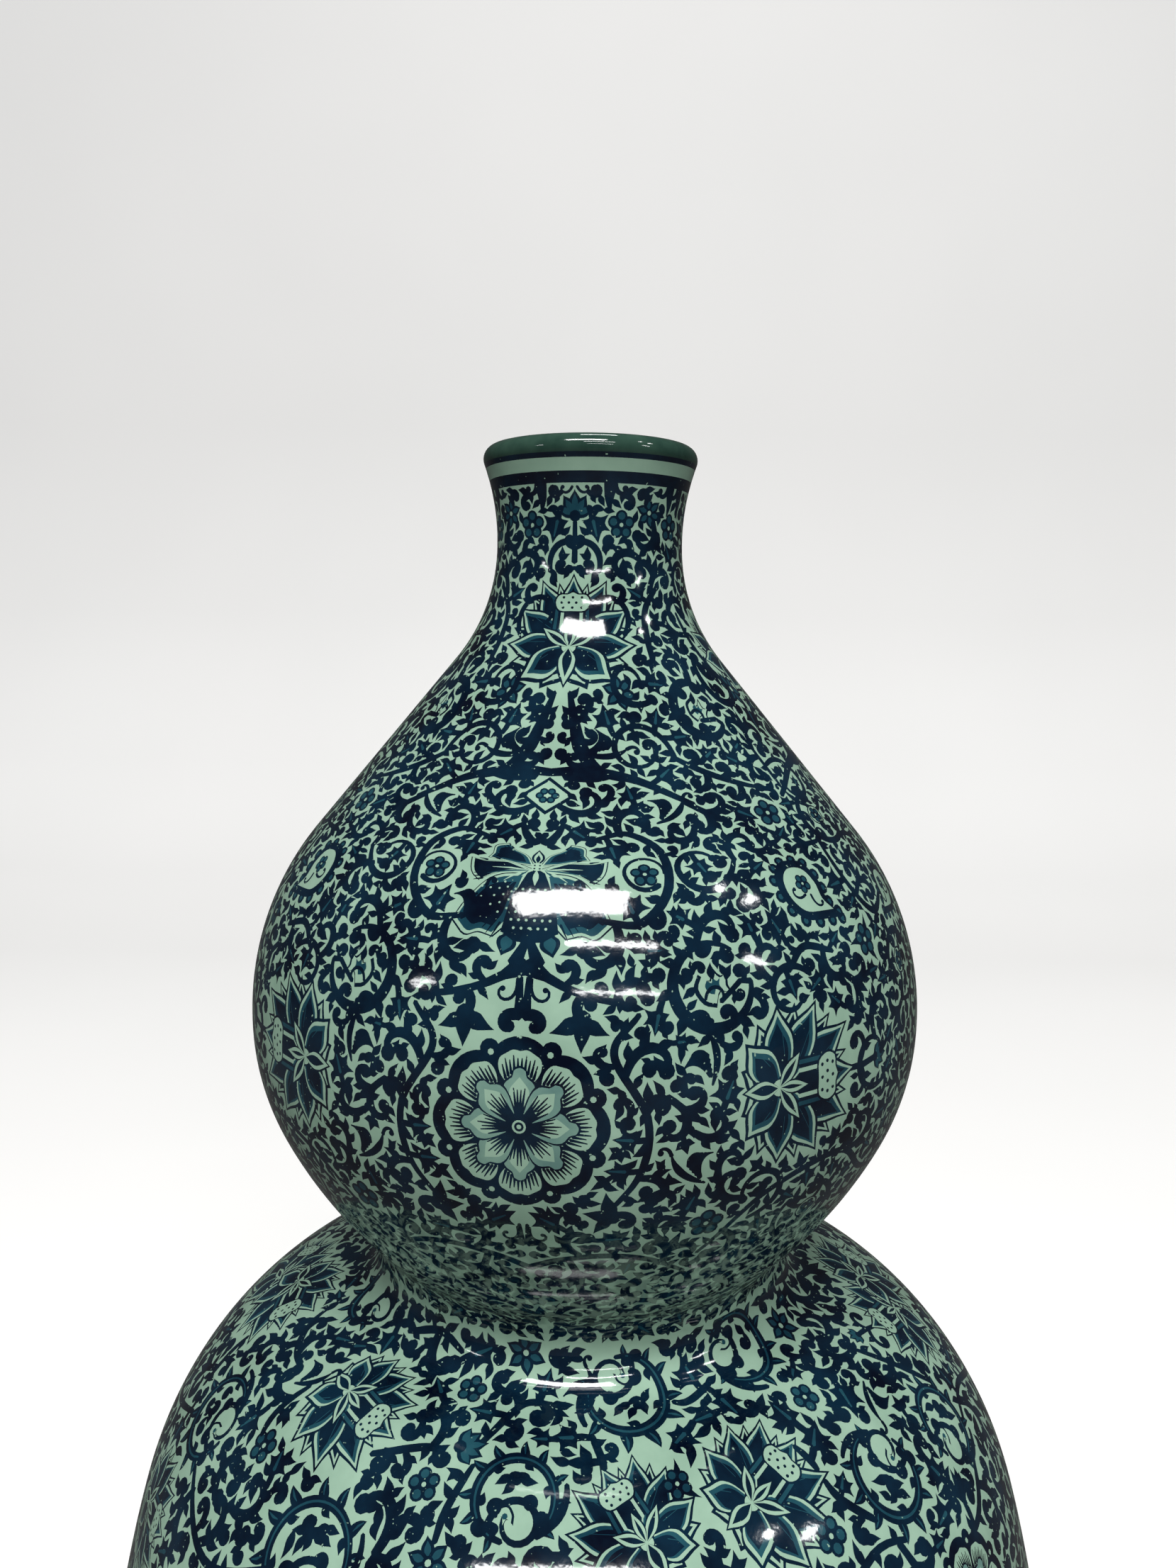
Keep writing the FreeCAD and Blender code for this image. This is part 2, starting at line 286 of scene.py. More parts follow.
def blade(x, y, heading, length, width, bend=0):
    # a pointed leaf
    widths = (width * 0.3, width * 0.85, width, width * 0.72, width * 0.3, 0.05)
    return stroke(spiral(x, y, heading, length, bend, 0, 8), widths)


def moved(shapes, x=0, y=0, turn=0, size=1, flip=False):
    c, s = cosD(turn) * size, sinD(turn) * size
    out = []
    for points, ink in shapes:
        p = points * [-1, 1] if flip else points
        out.append((np.column_stack([x + p[:, 0] * c - p[:, 1] * s, y + p[:, 0] * s + p[:, 1] * c]), ink))
    return out


def bothSides(shapes):
    return shapes + moved(shapes, flip=True)


def petalOutline(length, width, base, point, start=0.0):
    # an upright petal with an ogee tip, from start to start + length
    half = [(base, 0), (width * 0.92, length * 0.34), (width * 0.88, length * 0.62),
            (width * 0.34 * (1 - point), length * 0.86)]
    left = [(-x, start + y) for x, y in half]
    right = [(x, start + y) for x, y in half[::-1]]
    return curve(left + [(0, start + length)] + right, sharp=(0, 4, 8), perSpan=3)


def petals(*rows):
    # petals over each other: ink, length, width, base, point and start
    return [(petalOutline(*row), ink) for ink, *row in rows]


# Flowers and other main motifs, upright about their own middle.
lotusLook = {
    "line": 0.021, "rim": 0.027, "tealEdge": 0.026, "smallRim": 0.036,     # shares of the lotus's radius
    # turn from the pod and length of the petals, and of those that show between them
    "petals": ((0, 1.05), (27, 1.07), (55, 0.94), (88, 0.80), (128, 0.60)),
    "between": ((13, 0.93), (41, 0.94), (72, 0.83), (109, 0.68), (153, 0.48)),
    "small": ((180, 0.42, 0.105), (54, 0.46, 0.085), (-50, 0.42, 0.085), (4, 0.38, 0.075)),
    "podDots": (3, 4, 3),
}


def lotusPetal(turn, length, width, radius, tint):
    line, rim, teal = (lotusLook[k] * radius for k in ("line", "rim", "tealEdge"))
    start = radius * 0.08
    length = length * radius - start
    inset = line + rim
    layers = petals(("navy", length, width, width * 0.55, 0.15, start),
                    ("pale", length - line * 2.4, width - line, width * 0.46, 0.15, start))
    core = petalOutline(length - inset * 2.3, width - inset, width * 0.36, 0.1, start)
    if not tint:
        return moved(layers + [(core, "navy")], turn=-turn)
    inner = petalOutline(length - inset * 2.3 - teal * 2.6, width - inset - teal, width * 0.30, 0.1, start)
    layers += [(core, "teal"), (inner + [teal * 0.5, 0], "navy")]
    vein = [(-width * 0.30, start + length * 0.30), (-width * 0.22, start + length * 0.66)]
    return moved(layers + stroke(vein, (0.1, radius * 0.022, 0.1), "teal"), turn=-turn)


def lotus(radius):
    # upright about the small flower, from which the pod rises on its column
    shapes = []
    for turn, length in lotusLook["between"]:
        shapes += bothSides(lotusPetal(turn, length, radius * 0.165, radius, False))
    for turn, length in lotusLook["petals"]:
        shapes += bothSides(lotusPetal(turn, length, radius * (0.155 + 0.05 * length), radius, True))
    low, high = radius * 0.24, radius * 0.54
    column = np.array([(-0.25, 0), (0.25, 0), (0.25, 1), (-0.25, 1)])
    shapes.append((column * [radius, high - low] + [0, low], "navy"))
    for k, ink in zip((-0.205, -0.125, 0.125, 0.205), ("teal", "pale", "pale", "teal")):
        shapes += stroke([(k * radius, low), (k * radius, high)], (radius * 0.042,) * 2, ink)
    podY, podW, podH = radius * 0.62, radius * 0.235, radius * 0.145
    lobes = [(-1, 0), (-0.80, 0.72), (-0.32, 0.78), (0, 1.0), (0.32, 0.78), (0.80, 0.72), (1, 0),
             (0.72, -0.80), (0, -0.86), (-0.72, -0.80)]
    for edge, ink in ((radius * 0.024, "navy"), (0, "pale")):
        pod = [(x * (podW + edge), podY + y * (podH + edge)) for x, y in lobes]
        shapes.append((curve(pod, perSpan=3), ink))
    for row, count in zip((0.50, -0.02, -0.52), lotusLook["podDots"]):
        for k in range(count):
            x = ((k + 0.5) / count - 0.5) * 2 * podW * (0.66 + 0.05 * count)
            shapes += dot(x, podY + row * podH, radius * 0.020, 7)
    rim = lotusLook["smallRim"]
    for turn, length, width in lotusLook["small"]:
        shapes += moved(petals(
            ("navy", radius * length, radius * width, 0.02, 0.1),
            ("pale", radius * (length - 0.03), radius * (width - 0.018), 0.02, 0.1),
            ("navy", radius * (length - 0.08 - rim), radius * (width - 0.018 - rim),
             0.02, 0.1, radius * 0.02)),
            turn=-turn)
    return shapes


def tulip(size):
    # three upright lobes between two that bend out
    shapes = []
    for ink, width, base, start, lengths in (("navy", 0.26, 0.12, 0, (0.80, 0.95, 1.05)),
                                             ("teal", 0.13, 0.05, 0.16, (0.56, 0.62, 0.74))):
        for turn, k in ((62, 0), (-62, 0), (30, 1), (-30, 1), (0, 2)):
            lobe = petals((ink, size * lengths[k], size * width, size * base, 0.2, size * start))
            shapes += moved(lobe, turn=-turn)
    return shapes + dot(0, 0, size * 0.24, 9)


def stalkedLotus(radius):
    # the stem goes on beyond the pod, with a curl on both sides and a tulip at its end
    r = radius
    stalk = stroke([(0, 0.9 * r), (0.02 * r, 1.2 * r), (0, 1.42 * r)], (1.0, 1.2, 1.1))
    curl = hook(0, 1.12 * r, 38, 0.50 * r, -205, (1.0, 1.2, 1.1), 1.2)
    curl += blade(0.13 * r, 1.20 * r, 70, 0.16 * r, 1.4, 20)
    return stalk + bothSides(curl) + moved(tulip(0.22 * r), y=1.42 * r) + lotus(r)


rosetteLook = {"petals": 8, "hatch": 10, "veins": 6}


def roundPetal(length, width):
    # a blunt petal that ends in a small rounded tip
    right = [(0.36, 0.95), (0.46, 0.84), (0.92, 0.72), (0.88, 0.50), (0.2, 0.12)]
    points = [(-width * x, length * y) for x, y in right[::-1]] + [(0, length)]
    return curve(points + [(width * x, length * y) for x, y in right], sharp=(0, 10), perSpan=3)


def rosette(radius):
    count = rosetteLook["petals"]
    turns = np.linspace(0, 2 * math.pi, 161)[:-1]
    lobes = radius * (0.80 + 0.175 * np.abs(np.cos(turns * count / 2))**0.6)
    shapes = [(np.column_stack([lobes * np.sin(turns), lobes * np.cos(turns)]), "navy")]
    for k in range(count):
        edge = dot(0, radius * 0.885, radius * 0.112, 12) + dot(0, radius * 0.850, radius * 0.036, 7, "pale")
        shapes += moved(edge, turn=(k + 0.5) * 360 / count)
    half = math.pi / count
    lean = lambda share, turn: (radius * share * math.sin(turn), radius * share * math.cos(turn))
    rings = [(0.42, 0.5), (0.57, 0.88), (0.68, 0.90), (0.765, 0.76), (0.80, 0.50), (0.83, 0.24), (0.815, 0.0)]
    right = [lean(share, half * turn) for share, turn in rings]
    left = [(-x, y) for x, y in right[:-1]][::-1]
    petal = [(curve(right + left, sharp=(0, 12), perSpan=3), "pale")]
    hatch, veins = rosetteLook["hatch"], rosetteLook["veins"]
    for step in range(hatch):
        share = (step + 0.5) / hatch * 2 - 1
        turn = share * half * 0.80
        ends = (0.63 - 0.10 * abs(share), 0.775 - 0.06 * abs(share)**2 - 0.035 * (step % 2))
        petal += stroke([lean(end, turn) for end in ends], (radius * 0.036, radius * 0.022, radius * 0.012))
    inner = [(roundPetal(radius * 0.66, radius * 0.198), "navy"),
             (roundPetal(radius * 0.636, radius * 0.176), "washed"),
             (petalOutline(radius * 0.34, radius * 0.115, radius * 0.05, 0.0, radius * 0.20), "pale")]
    for step in range(veins):
        share = (step + 0.5) / veins * 2 - 1
        end = (0.47, 0.42)[step % 2] - 0.10 * abs(share)
        vein = [(share * radius * 0.05, radius * 0.14), (share * radius * 0.125, radius * end)]
        inner += stroke(vein, (radius * 0.040, radius * 0.030, radius * 0.012))
    for layer in (petal, inner):
        for k in range(count):
            shapes += moved(layer, turn=k * 360 / count)
    star = radius * (0.185 + 0.035 * np.cos(turns * count))
    shapes.append((np.column_stack([star * np.sin(turns), star * np.cos(turns)])[::2], "navy"))
    for share, ink in ((0.076, "pale"), (0.052, "navy"), (0.026, "pale")):
        shapes += dot(0, 0, radius * share, 14, ink)
    return shapes


def fiveFlower(radius, leaves=False):
    shapes = []
    for turn in (50, 170, 290) if leaves else ():
        shapes += blade(0, 0, turn, radius * 1.75, radius * 0.55, 25)
    for reach, size, count, ink in ((0.58, 0.45, 12, "navy"), (0.62, 0.27, 9, "teal")):
        for k in range(5):
            shapes += dot(*polar(radius * reach, 90 + 72 * k), radius * size, count, ink)
    return shapes + dot(0, 0, radius * 0.25, 9) + dot(0, 0, radius * 0.15, 8, "pale")


def starFlower(radius):
    shapes = []
    for k in range(6):
        shapes += moved(petals(("navy", radius, radius * 0.30, radius * 0.12, 0.2),
                               ("teal", radius * 0.62, radius * 0.15, radius * 0.05, 0.2, radius * 0.18)),
                        turn=60 * k + 12)
    return shapes + dot(0, 0, radius * 0.26) + dot(0, 0, radius * 0.14, 8, "pale")


def arcLine(radius, start, end, count):
    turns = np.radians(np.linspace(start, end, count))
    return np.column_stack([radius * np.cos(turns), radius * np.sin(turns)])


def serrated(line, widths, teeth, bite, side):
    # a leafy vine: a stroke with teeth along one side
    shapes = stroke(line, widths)
    way, out = wayAndSide(line)
    out = out * side
    for k in range(teeth):
        i = int((k + 0.6) / teeth * (len(line) - 1))
        half = np.interp(i / (len(line) - 1), np.linspace(0, 1, len(widths)), widths) / 2
        heading = headingOf(out[i] * 0.8 + way[i] * 0.6)
        shapes += blade(*(line[i] + out[i] * half * 0.3), heading, bite + half, bite * 0.9, 20 * side)
    return shapes


def inwardHooks(radius, rows, lean, widths, knob):
    # curls that start on a ring: their place on it, reach and bend
    shapes = []
    for turn, reach, bend in rows:
        shapes += hook(*polar(radius * 0.93, turn), turn + lean, radius * reach, bend, widths, knob)
    return shapes


def ringScroll(radius):
    # a leafy ring that does not close, with a flower and hooks in it
    line = arcLine(radius, -62, 262, 34)
    shapes = serrated(line, (0.8, 1.3, 1.7, 1.5, 0.8), 8, radius * 0.30, -1)
    shapes += stroke(spiral(*line[0], 100, radius * 2.2, 235, 0.2, 16), (1.0, 1.1, 1.0, 0.8))
    flower = dot(0, 0, radius * 0.40, 16) + dot(0, 0, radius * 0.40 - 0.35, 16, "pale")
    shapes += moved(flower + fiveFlower(radius * 0.31), x=-radius * 0.16, y=-radius * 0.02)
    hooks = ((100, 0.62, -200), (175, 0.50, 190), (230, 0.62, -190), (300, 0.55, 200), (30, 0.45, 190))
    shapes += inwardHooks(radius, hooks, 165, (1.5, 1.3, 0.9), 0.85)
    shapes += hook(radius * 0.30, radius * 0.42, 150, radius * 0.55, 190, (1.3, 1.5, 0.9), 0.8)
    return shapes + blade(radius * 0.42, -radius * 0.20, 300, radius * 0.45, 1.7, 30)


def tulipScroll(radius):
    # a thick ring with an outlined blossom that curls in it
    line = arcLine(radius, 38, 345, 34)
    shapes = serrated(line, (0.6, 1.5, 2.0, 1.8, 0.8), 8, radius * 0.30, -1)
    corners = [(-0.38, -0.35), (-0.50, 0.05), (-0.28, 0.35), (-0.05, 0.12), (0.10, 0.46), (0.26, 0.14),
               (0.52, 0.22), (0.36, -0.12), (0.46, -0.40), (0.12, -0.22), (-0.10, -0.52)]
    bloom = curve(corners, sharp=(2, 4, 6, 8, 10), perSpan=3) * radius
    shapes += [(bloom, "navy"), (bloom * 0.80 + [radius * 0.012, -radius * 0.01], "pale"),
               (bloom * 0.42, "teal")]
    shapes += stroke(spiral(-0.30 * radius, -0.25 * radius, 60, radius * 0.9, -240, 0.3, 14), (0.5, 0.6, 0.4))
    hooks = ((75, 0.50, -200), (150, 0.55, 200), (215, 0.60, -200), (285, 0.55, 200))
    shapes += inwardHooks(radius, hooks, 160, (1.5, 1.3, 0.8), 0.8)
    end = line[-1]
    return shapes + stroke([end, end * 0.72 + [0, 0.2], (0.05 * radius, -0.42 * radius)], (1.0, 0.8))


def acanthus(line, widths, lobes, reach, side):
    # a leafy vine with rounded lobes along one side, each with a paler vein
    shapes = stroke(line, widths)
    veins = stroke(line[3:-2], [w * 0.16 + 0.1 for w in widths], "teal")
    way, out = wayAndSide(line)
    out = out * side
    for k in range(lobes):
        i = int((k + 0.5) / lobes * (len(line) - 1))
        length = reach * (0.55 + 0.45 * math.sin(math.pi * (k + 0.8) / (lobes + 0.6)))
        tip = spiral(*line[i], headingOf(out[i] * 0.8 + way[i] * 0.65), length, 48 * side, 0, 8)
        shapes += stroke(tip, (length * 0.34, length * 0.50, length * 0.48, length * 0.30, 0.1))
        veins += stroke(tip[2:7], (0.15, 0.42, 0.15), "teal")
    return shapes + veins


def wreath(radius):
    # a leafy ring that curls round an outlined blossom
    line = arcLine(radius * 0.90, -52, 262, 36)
    shapes = acanthus(line, (0.8, 1.6, 2.0, 1.7, 0.8), 10, radius * 0.50, -1)
    shapes += stroke(spiral(*line[0], 30, radius * 1.3, 75, 0.2, 12), (1.2, 1.5, 0.8))
    stalk = spiral(-0.50 * radius, -0.72 * radius, 78, radius * 3.0, -392, 0.35, 26)
    shapes += stroke(stalk, (1.0, 1.2, 1.1, 0.9, 0.6))
    bloom = curve([(0, 0.9), (-0.75, 0.55), (-0.85, -0.25), (-0.35, -0.05), (-0.15, -0.85), (0.15, -0.20),
                   (0.70, -0.55), (0.62, 0.25)], sharp=(2, 4, 6), perSpan=4) * radius * 0.27
    bloom = bloom + stalk[-1] - [0, radius * 0.06]
    middle = bloom.mean(0)
    shapes += [(bloom, "navy"), (middle + (bloom - middle) * 0.74, "pale")] + dot(*middle, 0.45, 7, "teal")
    for i, turn, reach, bend in (
            (1, 250, 0.42, -200), (5, 165, 0.42, 200), (9, 35, 0.36, -190), (13, -30, 0.28, 190)):
        shapes += hook(*stalk[i], turn, radius * reach, bend, (1.1, 1.6, 1.1), 1.0)
    for turn in (20, 80, 140, 200, 250):
        shapes += blade(*polar(radius * 0.84, turn), turn + 215, radius * 0.30, 1.7, 40)
    return shapes


def paisley(size):
    # a bean with a scalloped border, a flower and a curl inside
    corners = [(0.0, 1.0), (-0.55, 0.80), (-0.80, 0.20), (-0.62, -0.45), (0.0, -0.85), (0.55, -1.15),
               (0.42, -0.60), (0.66, -0.05), (0.60, 0.62)]
    body = curve(corners, sharp=(5,)) * size
    shapes = []
    for place in body[::3]:
        shapes += dot(*(place * 1.04), size * 0.17, 9) + dot(*(place * 1.06), size * 0.075, 7, "teal")
    shapes += [(body, "navy"), (body * 0.72, "pale")]
    shapes += moved(fiveFlower(size * 0.26), x=0.08 * size, y=0.18 * size)
    shapes += hook(-0.1 * size, -0.05 * size, 180, size * 0.6, -190, (0.5, 0.45, 0.35), 0.35)
    return shapes + hook(0.05 * size, -0.15 * size, 250, size * 0.55, 150, (0.5, 0.45, 0.35), 0.35)


def featherComb(size, count=5):
    # nested crescents, like the barbs of a curled feather
    shapes = []
    for k in range(count):
        share = k / (count - 1)
        barb = spiral(-size * 0.15 + size * 0.42 * share, -size * 0.62 + size * 0.34 * share, 62 + 16 * share,
                      size * (1.0 - 0.42 * share), 120, 0.5, 12)
        shapes += stroke(barb, (size * 0.16, size * 0.17, size * 0.12, 0.25))
    spine = spiral(-size * 0.35, -size * 0.78, 10, size * 1.5, 62, 0.4, 12)
    shapes += stroke(spine, (0.4, size * 0.20, size * 0.24, 0.3))
    return shapes + hook(*spine[-1], 60, size * 0.55, -170, (0.7, 0.6, 0.4), 0.5)


butterflyLook = {
    # outline, its middle, sharp corners and inner ink of each wing, the lowest first
    "wings": (
        (((0.10, -0.06), (0.56, -0.10), (0.92, -0.28), (1.22, -0.70), (1.38, -1.06), (1.10, -1.30),
          (0.86, -1.24), (0.60, -1.30), (0.36, -1.02), (0.26, -0.60)), (0.80, -0.72), (0, 4, 7), "teal"),
        (((0.06, 0.04), (0.50, 0.22), (1.06, 0.22), (1.34, 0.28), (1.30, 0.00), (1.22, -0.18), (1.06, -0.30),
          (0.84, -0.16), (0.50, -0.02)), (0.78, 0.04), (0, 3, 6), "navy"),
        (((0.05, 0.12), (0.20, 0.40), (0.50, 0.58), (0.62, 0.74), (0.90, 0.66), (0.92, 0.44), (1.00, 0.30),
          (0.66, 0.24), (0.36, 0.16)), (0.56, 0.42), (0, 3, 5, 6), "teal")),
    # turn, reach and ink of the pale lines
    "lines": ((31, 0.60, "pale"), (10, 0.72, "pale"), (-3, 0.80, "teal"), (-24, 0.52, "pale"),
              (-42, 0.50, "teal"), (-62, 0.44, "pale")),
}


def butterfly(size):
    # three pairs of soft wings with ragged pale edges, and two drops below
    shapes = []
    for corners, centre, sharp, inkedWith in butterflyLook["wings"]:
        wing = curve(corners, sharp=sharp, perSpan=4) * size
        centre = np.array(centre) * size
        for shrink, ink in ((1.0, "navy"), (0.955, "pale"), (0.86, inkedWith), (0.66, "navy")):
            shapes.append((centre + (wing - centre) * shrink, ink))
    for k in range(9):
        # teeth that run in from the edges
        for turn, far, near in ((20 + k * 3.6, 0.96, 0.80), (-14 + k * 3.4, 1.20, 1.02),
                                (-64 + k * 4.4, 1.46 - 0.03 * k, 1.16)):
            shapes += stroke([polar(near * size, turn), polar(far * size, turn)], (size * 0.045, 0.1))
    for row in range(4):
        for k in range(5):
            place = polar(size * (0.62 + 0.14 * row), -72 + 11 * k + 5 * (row % 2))
            shapes += dot(*place, size * 0.022, 6, "pale")
    middle = np.array([(0, 0.05), (0.22, -0.12), (0.40, -0.66), (0.48, -1.20), (0, -1.34)])
    shapes.append((middle * size, "navy"))
    for row in range(6):
        for k in range(3):
            x, y = size * (0.07 + 0.13 * k - 0.06 * (row % 2)), size * (-0.42 - 0.14 * row)
            shapes += dot(x, y, size * 0.026, 6, "pale")
    for turn, reach, ink in butterflyLook["lines"]:
        line = spiral(size * 0.14, 0, turn, size * reach, -16, 0, 7)
        shapes += stroke(line, (size * 0.020, size * 0.045, 0.06), ink)
    drop = petals(("navy", size * 0.42, size * 0.17, 0.04, 0.1),
                  ("teal", size * 0.30, size * 0.10, 0.03, 0.1, size * 0.05))
    shapes = bothSides(shapes + moved(drop, x=size * 0.30, y=-size * 1.18, turn=196))
    shapes += petals(("navy", size * 0.44, size * 0.13, 0.05, 0.1, size * 0.14),
                     ("pale", size * 0.34, size * 0.085, 0.05, 0.1, size * 0.19),
                     ("navy", size * 0.22, size * 0.045, 0.05, 0.1, size * 0.21))
    shapes += dot(0, size * 0.10, size * 0.115, 10, "pale")
    shapes += petals(("pale", size * 0.36, size * 0.055, 0.05, 0.1, -size * 0.34))
    for x, y in ((-0.05, 0.14), (0.05, 0.14), (-0.05, 0.05), (0.05, 0.05)):
        shapes += dot(x * size, y * size, size * 0.022, 6)
    return shapes


# Small leaves and curls that fill the ground, each a little different every time it is drawn.
def wobble(rng, value, share=0.16):
    return value * (1 + rng.uniform(-share, share))


def thorny(line, widths, thorns, length, width, side=1, knob=0.95):
    # a stroke with thorns on its outer side and a round end
    shapes = stroke(line, widths)
    way = np.gradient(line, axis=0)
    for share in thorns:
        i = int(share * (len(line) - 1))
        shapes += blade(*line[i], headingOf(way[i]) - 52 * side, length, width, 34 * side)
    if knob:
        last = way[-1] / max(np.hypot(*way[-1]), 1e-9)
        shapes += dot(*(line[-1] + np.array([-last[1], last[0]]) * side * knob * 0.45), knob)
    return shapes


def bean(x, y, heading, size):
    # the fat end of a curl: a round lobe that runs out to a point
    return dot(x, y, size) + blade(x, y, heading, size * 2.4, size * 1.6, 30)


def thornScroll(rng):
    line = spiral(0, 0, 0, wobble(rng, 9.6), wobble(rng, 225), 0.6, 15)
    shapes = thorny(line, (1.4, 2.2, 2.2, 1.6, 1.1), (0.12, 0.36, 0.60), wobble(rng, 3.2), 1.9, 1, 0)
    shapes += bean(*line[-1], 300, 1.25) + blade(0.4, 0, 182, wobble(rng, 3.2), 1.9, -24)
    return shapes + hook(*line[5], 95, wobble(rng, 3.4), -wobble(rng, 170), (1.3, 1.1, 0.8), 0.85)


def scrollPair(rng):
    shapes = []
    for heading, length in ((8, 8.6), (188, 7.8)):
        line = spiral(0, 0, heading, wobble(rng, length), wobble(rng, 235), 0.6, 14)
        shapes += thorny(line, (2.3, 2.3, 1.7, 1.1), (0.24, 0.54), wobble(rng, 3.0), 1.9, 1, 1.15)
    return shapes


def fleur(rng):
    arm = spiral(0.2, 0, 48, wobble(rng, 7.6), -wobble(rng, 235), 0.6, 12)
    side = thorny(arm, (2.0, 2.2, 1.6, 1.0), (0.30, 0.58), wobble(rng, 2.6), 1.6, -1, 1.15)
    side += blade(0.5, -0.2, 318, wobble(rng, 3.6), 1.9, 24)
    return bothSides(side) + blade(0, 0, 90, wobble(rng, 5.8), 2.4)


def curledLeaf(rng):
    length = wobble(rng, 7.4)
    shapes = hook(0, 0, 0, length, wobble(rng, 225), (1.8, 2.4, 2.0, 1.1), 1.3)
    shapes += blade(0.6, 0.2, 178, wobble(rng, 4.4), 2.3, 25)
    return shapes + blade(length * 0.25, -0.2, 300, wobble(rng, 3.2), 2.0, 24)


def trefoil(rng):
    shapes = blade(0, 0, 90, wobble(rng, 5.8), 2.8, 14) + blade(0.3, 0, 26, wobble(rng, 5.0), 2.5, 26)
    shapes += blade(-0.3, 0, 154, wobble(rng, 5.0), 2.5, -26) + dot(0, 0.2, 1.6)
    return shapes + hook(0, 0.3, 268, wobble(rng, 6.0), wobble(rng, 210) * rng.choice((1, -1)),
                         (1.9, 1.7, 1.0), 1.2)


def doubleCurl(rng):
    turn = wobble(rng, 215)
    shapes = hook(0, 0, 10, wobble(rng, 7.8), turn, (2.2, 2.0, 1.0), 1.3)
    shapes += hook(0, 0, 190, wobble(rng, 7.2), turn, (2.2, 2.0, 1.0), 1.25)
    shapes += blade(0, 0.2, 105, wobble(rng, 3.6), 2.0, 15)
    return shapes + blade(0, -0.2, 285, wobble(rng, 3.4), 2.0, 15)


def tulipLeaf(rng):
    shapes = blade(0, 0, 82, wobble(rng, 7.2), 3.4, 14) + dot(0, 0.5, 2.1)
    shapes += bothSides(blade(0.3, 0.5, 34, wobble(rng, 6.2), 2.7, 44))
    return shapes + hook(0, 0, 275, wobble(rng, 5.6), -wobble(rng, 180), (2.2, 1.8, 1.0), 1.25)


def lobedLeaf(rng):
    # a broad leaf with three points, its stalk curled back
    corners = [(0, 0), (-2.0, 1.0), (-4.2, 0.9), (-2.7, 2.7), (-3.4, 4.8), (-1.4, 4.3),
               (0.4, 6.6), (1.4, 4.2), (3.3, 4.0), (2.1, 2.4), (2.7, 0.4), (1.0, 0.6)]
    body = curve(corners, sharp=(2, 4, 6, 8, 10), perSpan=3) * wobble(rng, 0.95)
    shapes = [(body, "navy")] + stroke(spiral(-0.1, 1.2, 92, 3.4, 12, 0, 6), (0.3, 0.7, 0.2), "teal")
    return shapes + hook(0, 0.6, 262, wobble(rng, 5.6), wobble(rng, 215) * rng.choice((1, -1)),
                         (1.6, 1.5, 1.0), 1.15)


# Leaves that grow from a stem, which they meet at 0, 0.
def sproutCurl(rng):
    line = spiral(0, 0, 0, wobble(rng, 9.6), wobble(rng, 222), 0.6, 15)
    shapes = thorny(line, (1.2, 1.6, 1.8, 1.4, 1.0), (0.24, 0.47, 0.68), wobble(rng, 2.9), 1.7, 1, 0)
    return shapes + bean(*line[-1], 290, 1.15)


def sproutFork(rng):
    stalk = spiral(0, 0, 0, 3.4, rng.uniform(-20, 20), 0, 6)
    shapes = stroke(stalk, (1.2, 1.4)) + blade(*stalk[-1], 0, wobble(rng, 4.0), 1.9, 0)
    for side, length in ((1, 6.8), (-1, 6.2)):
        arm = spiral(*stalk[-1], 36 * side, wobble(rng, length), side * wobble(rng, 220), 0.6, 11)
        shapes += thorny(arm, (1.5, 1.8, 1.4, 1.0), (0.35,), wobble(rng, 2.2), 1.5, side, 1.1)
    return shapes


def sproutLeaf(rng):
    corners = [(0, 0), (-2.0, 1.0), (-4.0, 0.9), (-2.5, 2.6), (-3.2, 4.7), (-1.3, 4.2),
               (0.4, 6.6), (1.3, 4.2), (3.2, 4.0), (2.0, 2.3), (2.6, 0.4), (1.0, 0.5)]
    body = curve(corners, sharp=(2, 4, 6, 8, 10), perSpan=3) * wobble(rng, 0.82)
    body = np.column_stack([body[:, 1] + 1.6, -body[:, 0]])
    return (stroke([(0, 0), (1.2, 0.1), (2.4, 0)], (1.2, 1.4)) + [(body, "navy")]
            + stroke([(2.6, 0), (5.4, -0.2)], (0.7, 0.3), "teal"))


def sproutBranch(rng):
    line = spiral(0, 0, 0, wobble(rng, 14), rng.uniform(-95, 95), 0, 17)
    shapes = stroke(line, (1.1, 1.4, 1.4, 1.2, 0.8))
    for i, side in ((3, 1), (6, -1), (9, 1), (12, -1)):
        arm = spiral(*line[i], side * 48, wobble(rng, 5.6), side * wobble(rng, 212), 0.6, 10)
        shapes += thorny(arm, (1.3, 1.7, 1.4, 0.9), (0.35,), wobble(rng, 2.1), 1.5, side, 1.0)
    return shapes + blade(*line[-2], headingOf(line[-1] - line[-3]), wobble(rng, 3.8), 2.0, 10)


def sproutComma(rng):
    curl = hook(0, 0, 0, wobble(rng, 5.6), wobble(rng, 205), (1.2, 1.9, 1.3), 1.15)
    return curl + blade(1.2, 0, -38, 2.4, 1.5, 25)


def sproutTrefoil(rng):
    shapes = stroke([(0, 0), (1.3, 0.15), (2.6, 0)], (1.2, 1.5))
    for turn, length in ((52, 3.8), (0, 4.6), (-52, 3.8)):
        shapes += blade(2.4, 0, turn, wobble(rng, length), 2.2, turn * 0.4)
    return shapes


def sproutTip(rng):
    return blade(0, 0, 0, wobble(rng, 4.6), 2.1, rng.uniform(-40, 40))


def smallFlower(rng):
    return fiveFlower(wobble(rng, 2.8, 0.1), True)


def comma(rng):
    return hook(0, 0, 0, wobble(rng, 4.9), wobble(rng, 195), (0.8, 2.3, 1.5), 1.3)


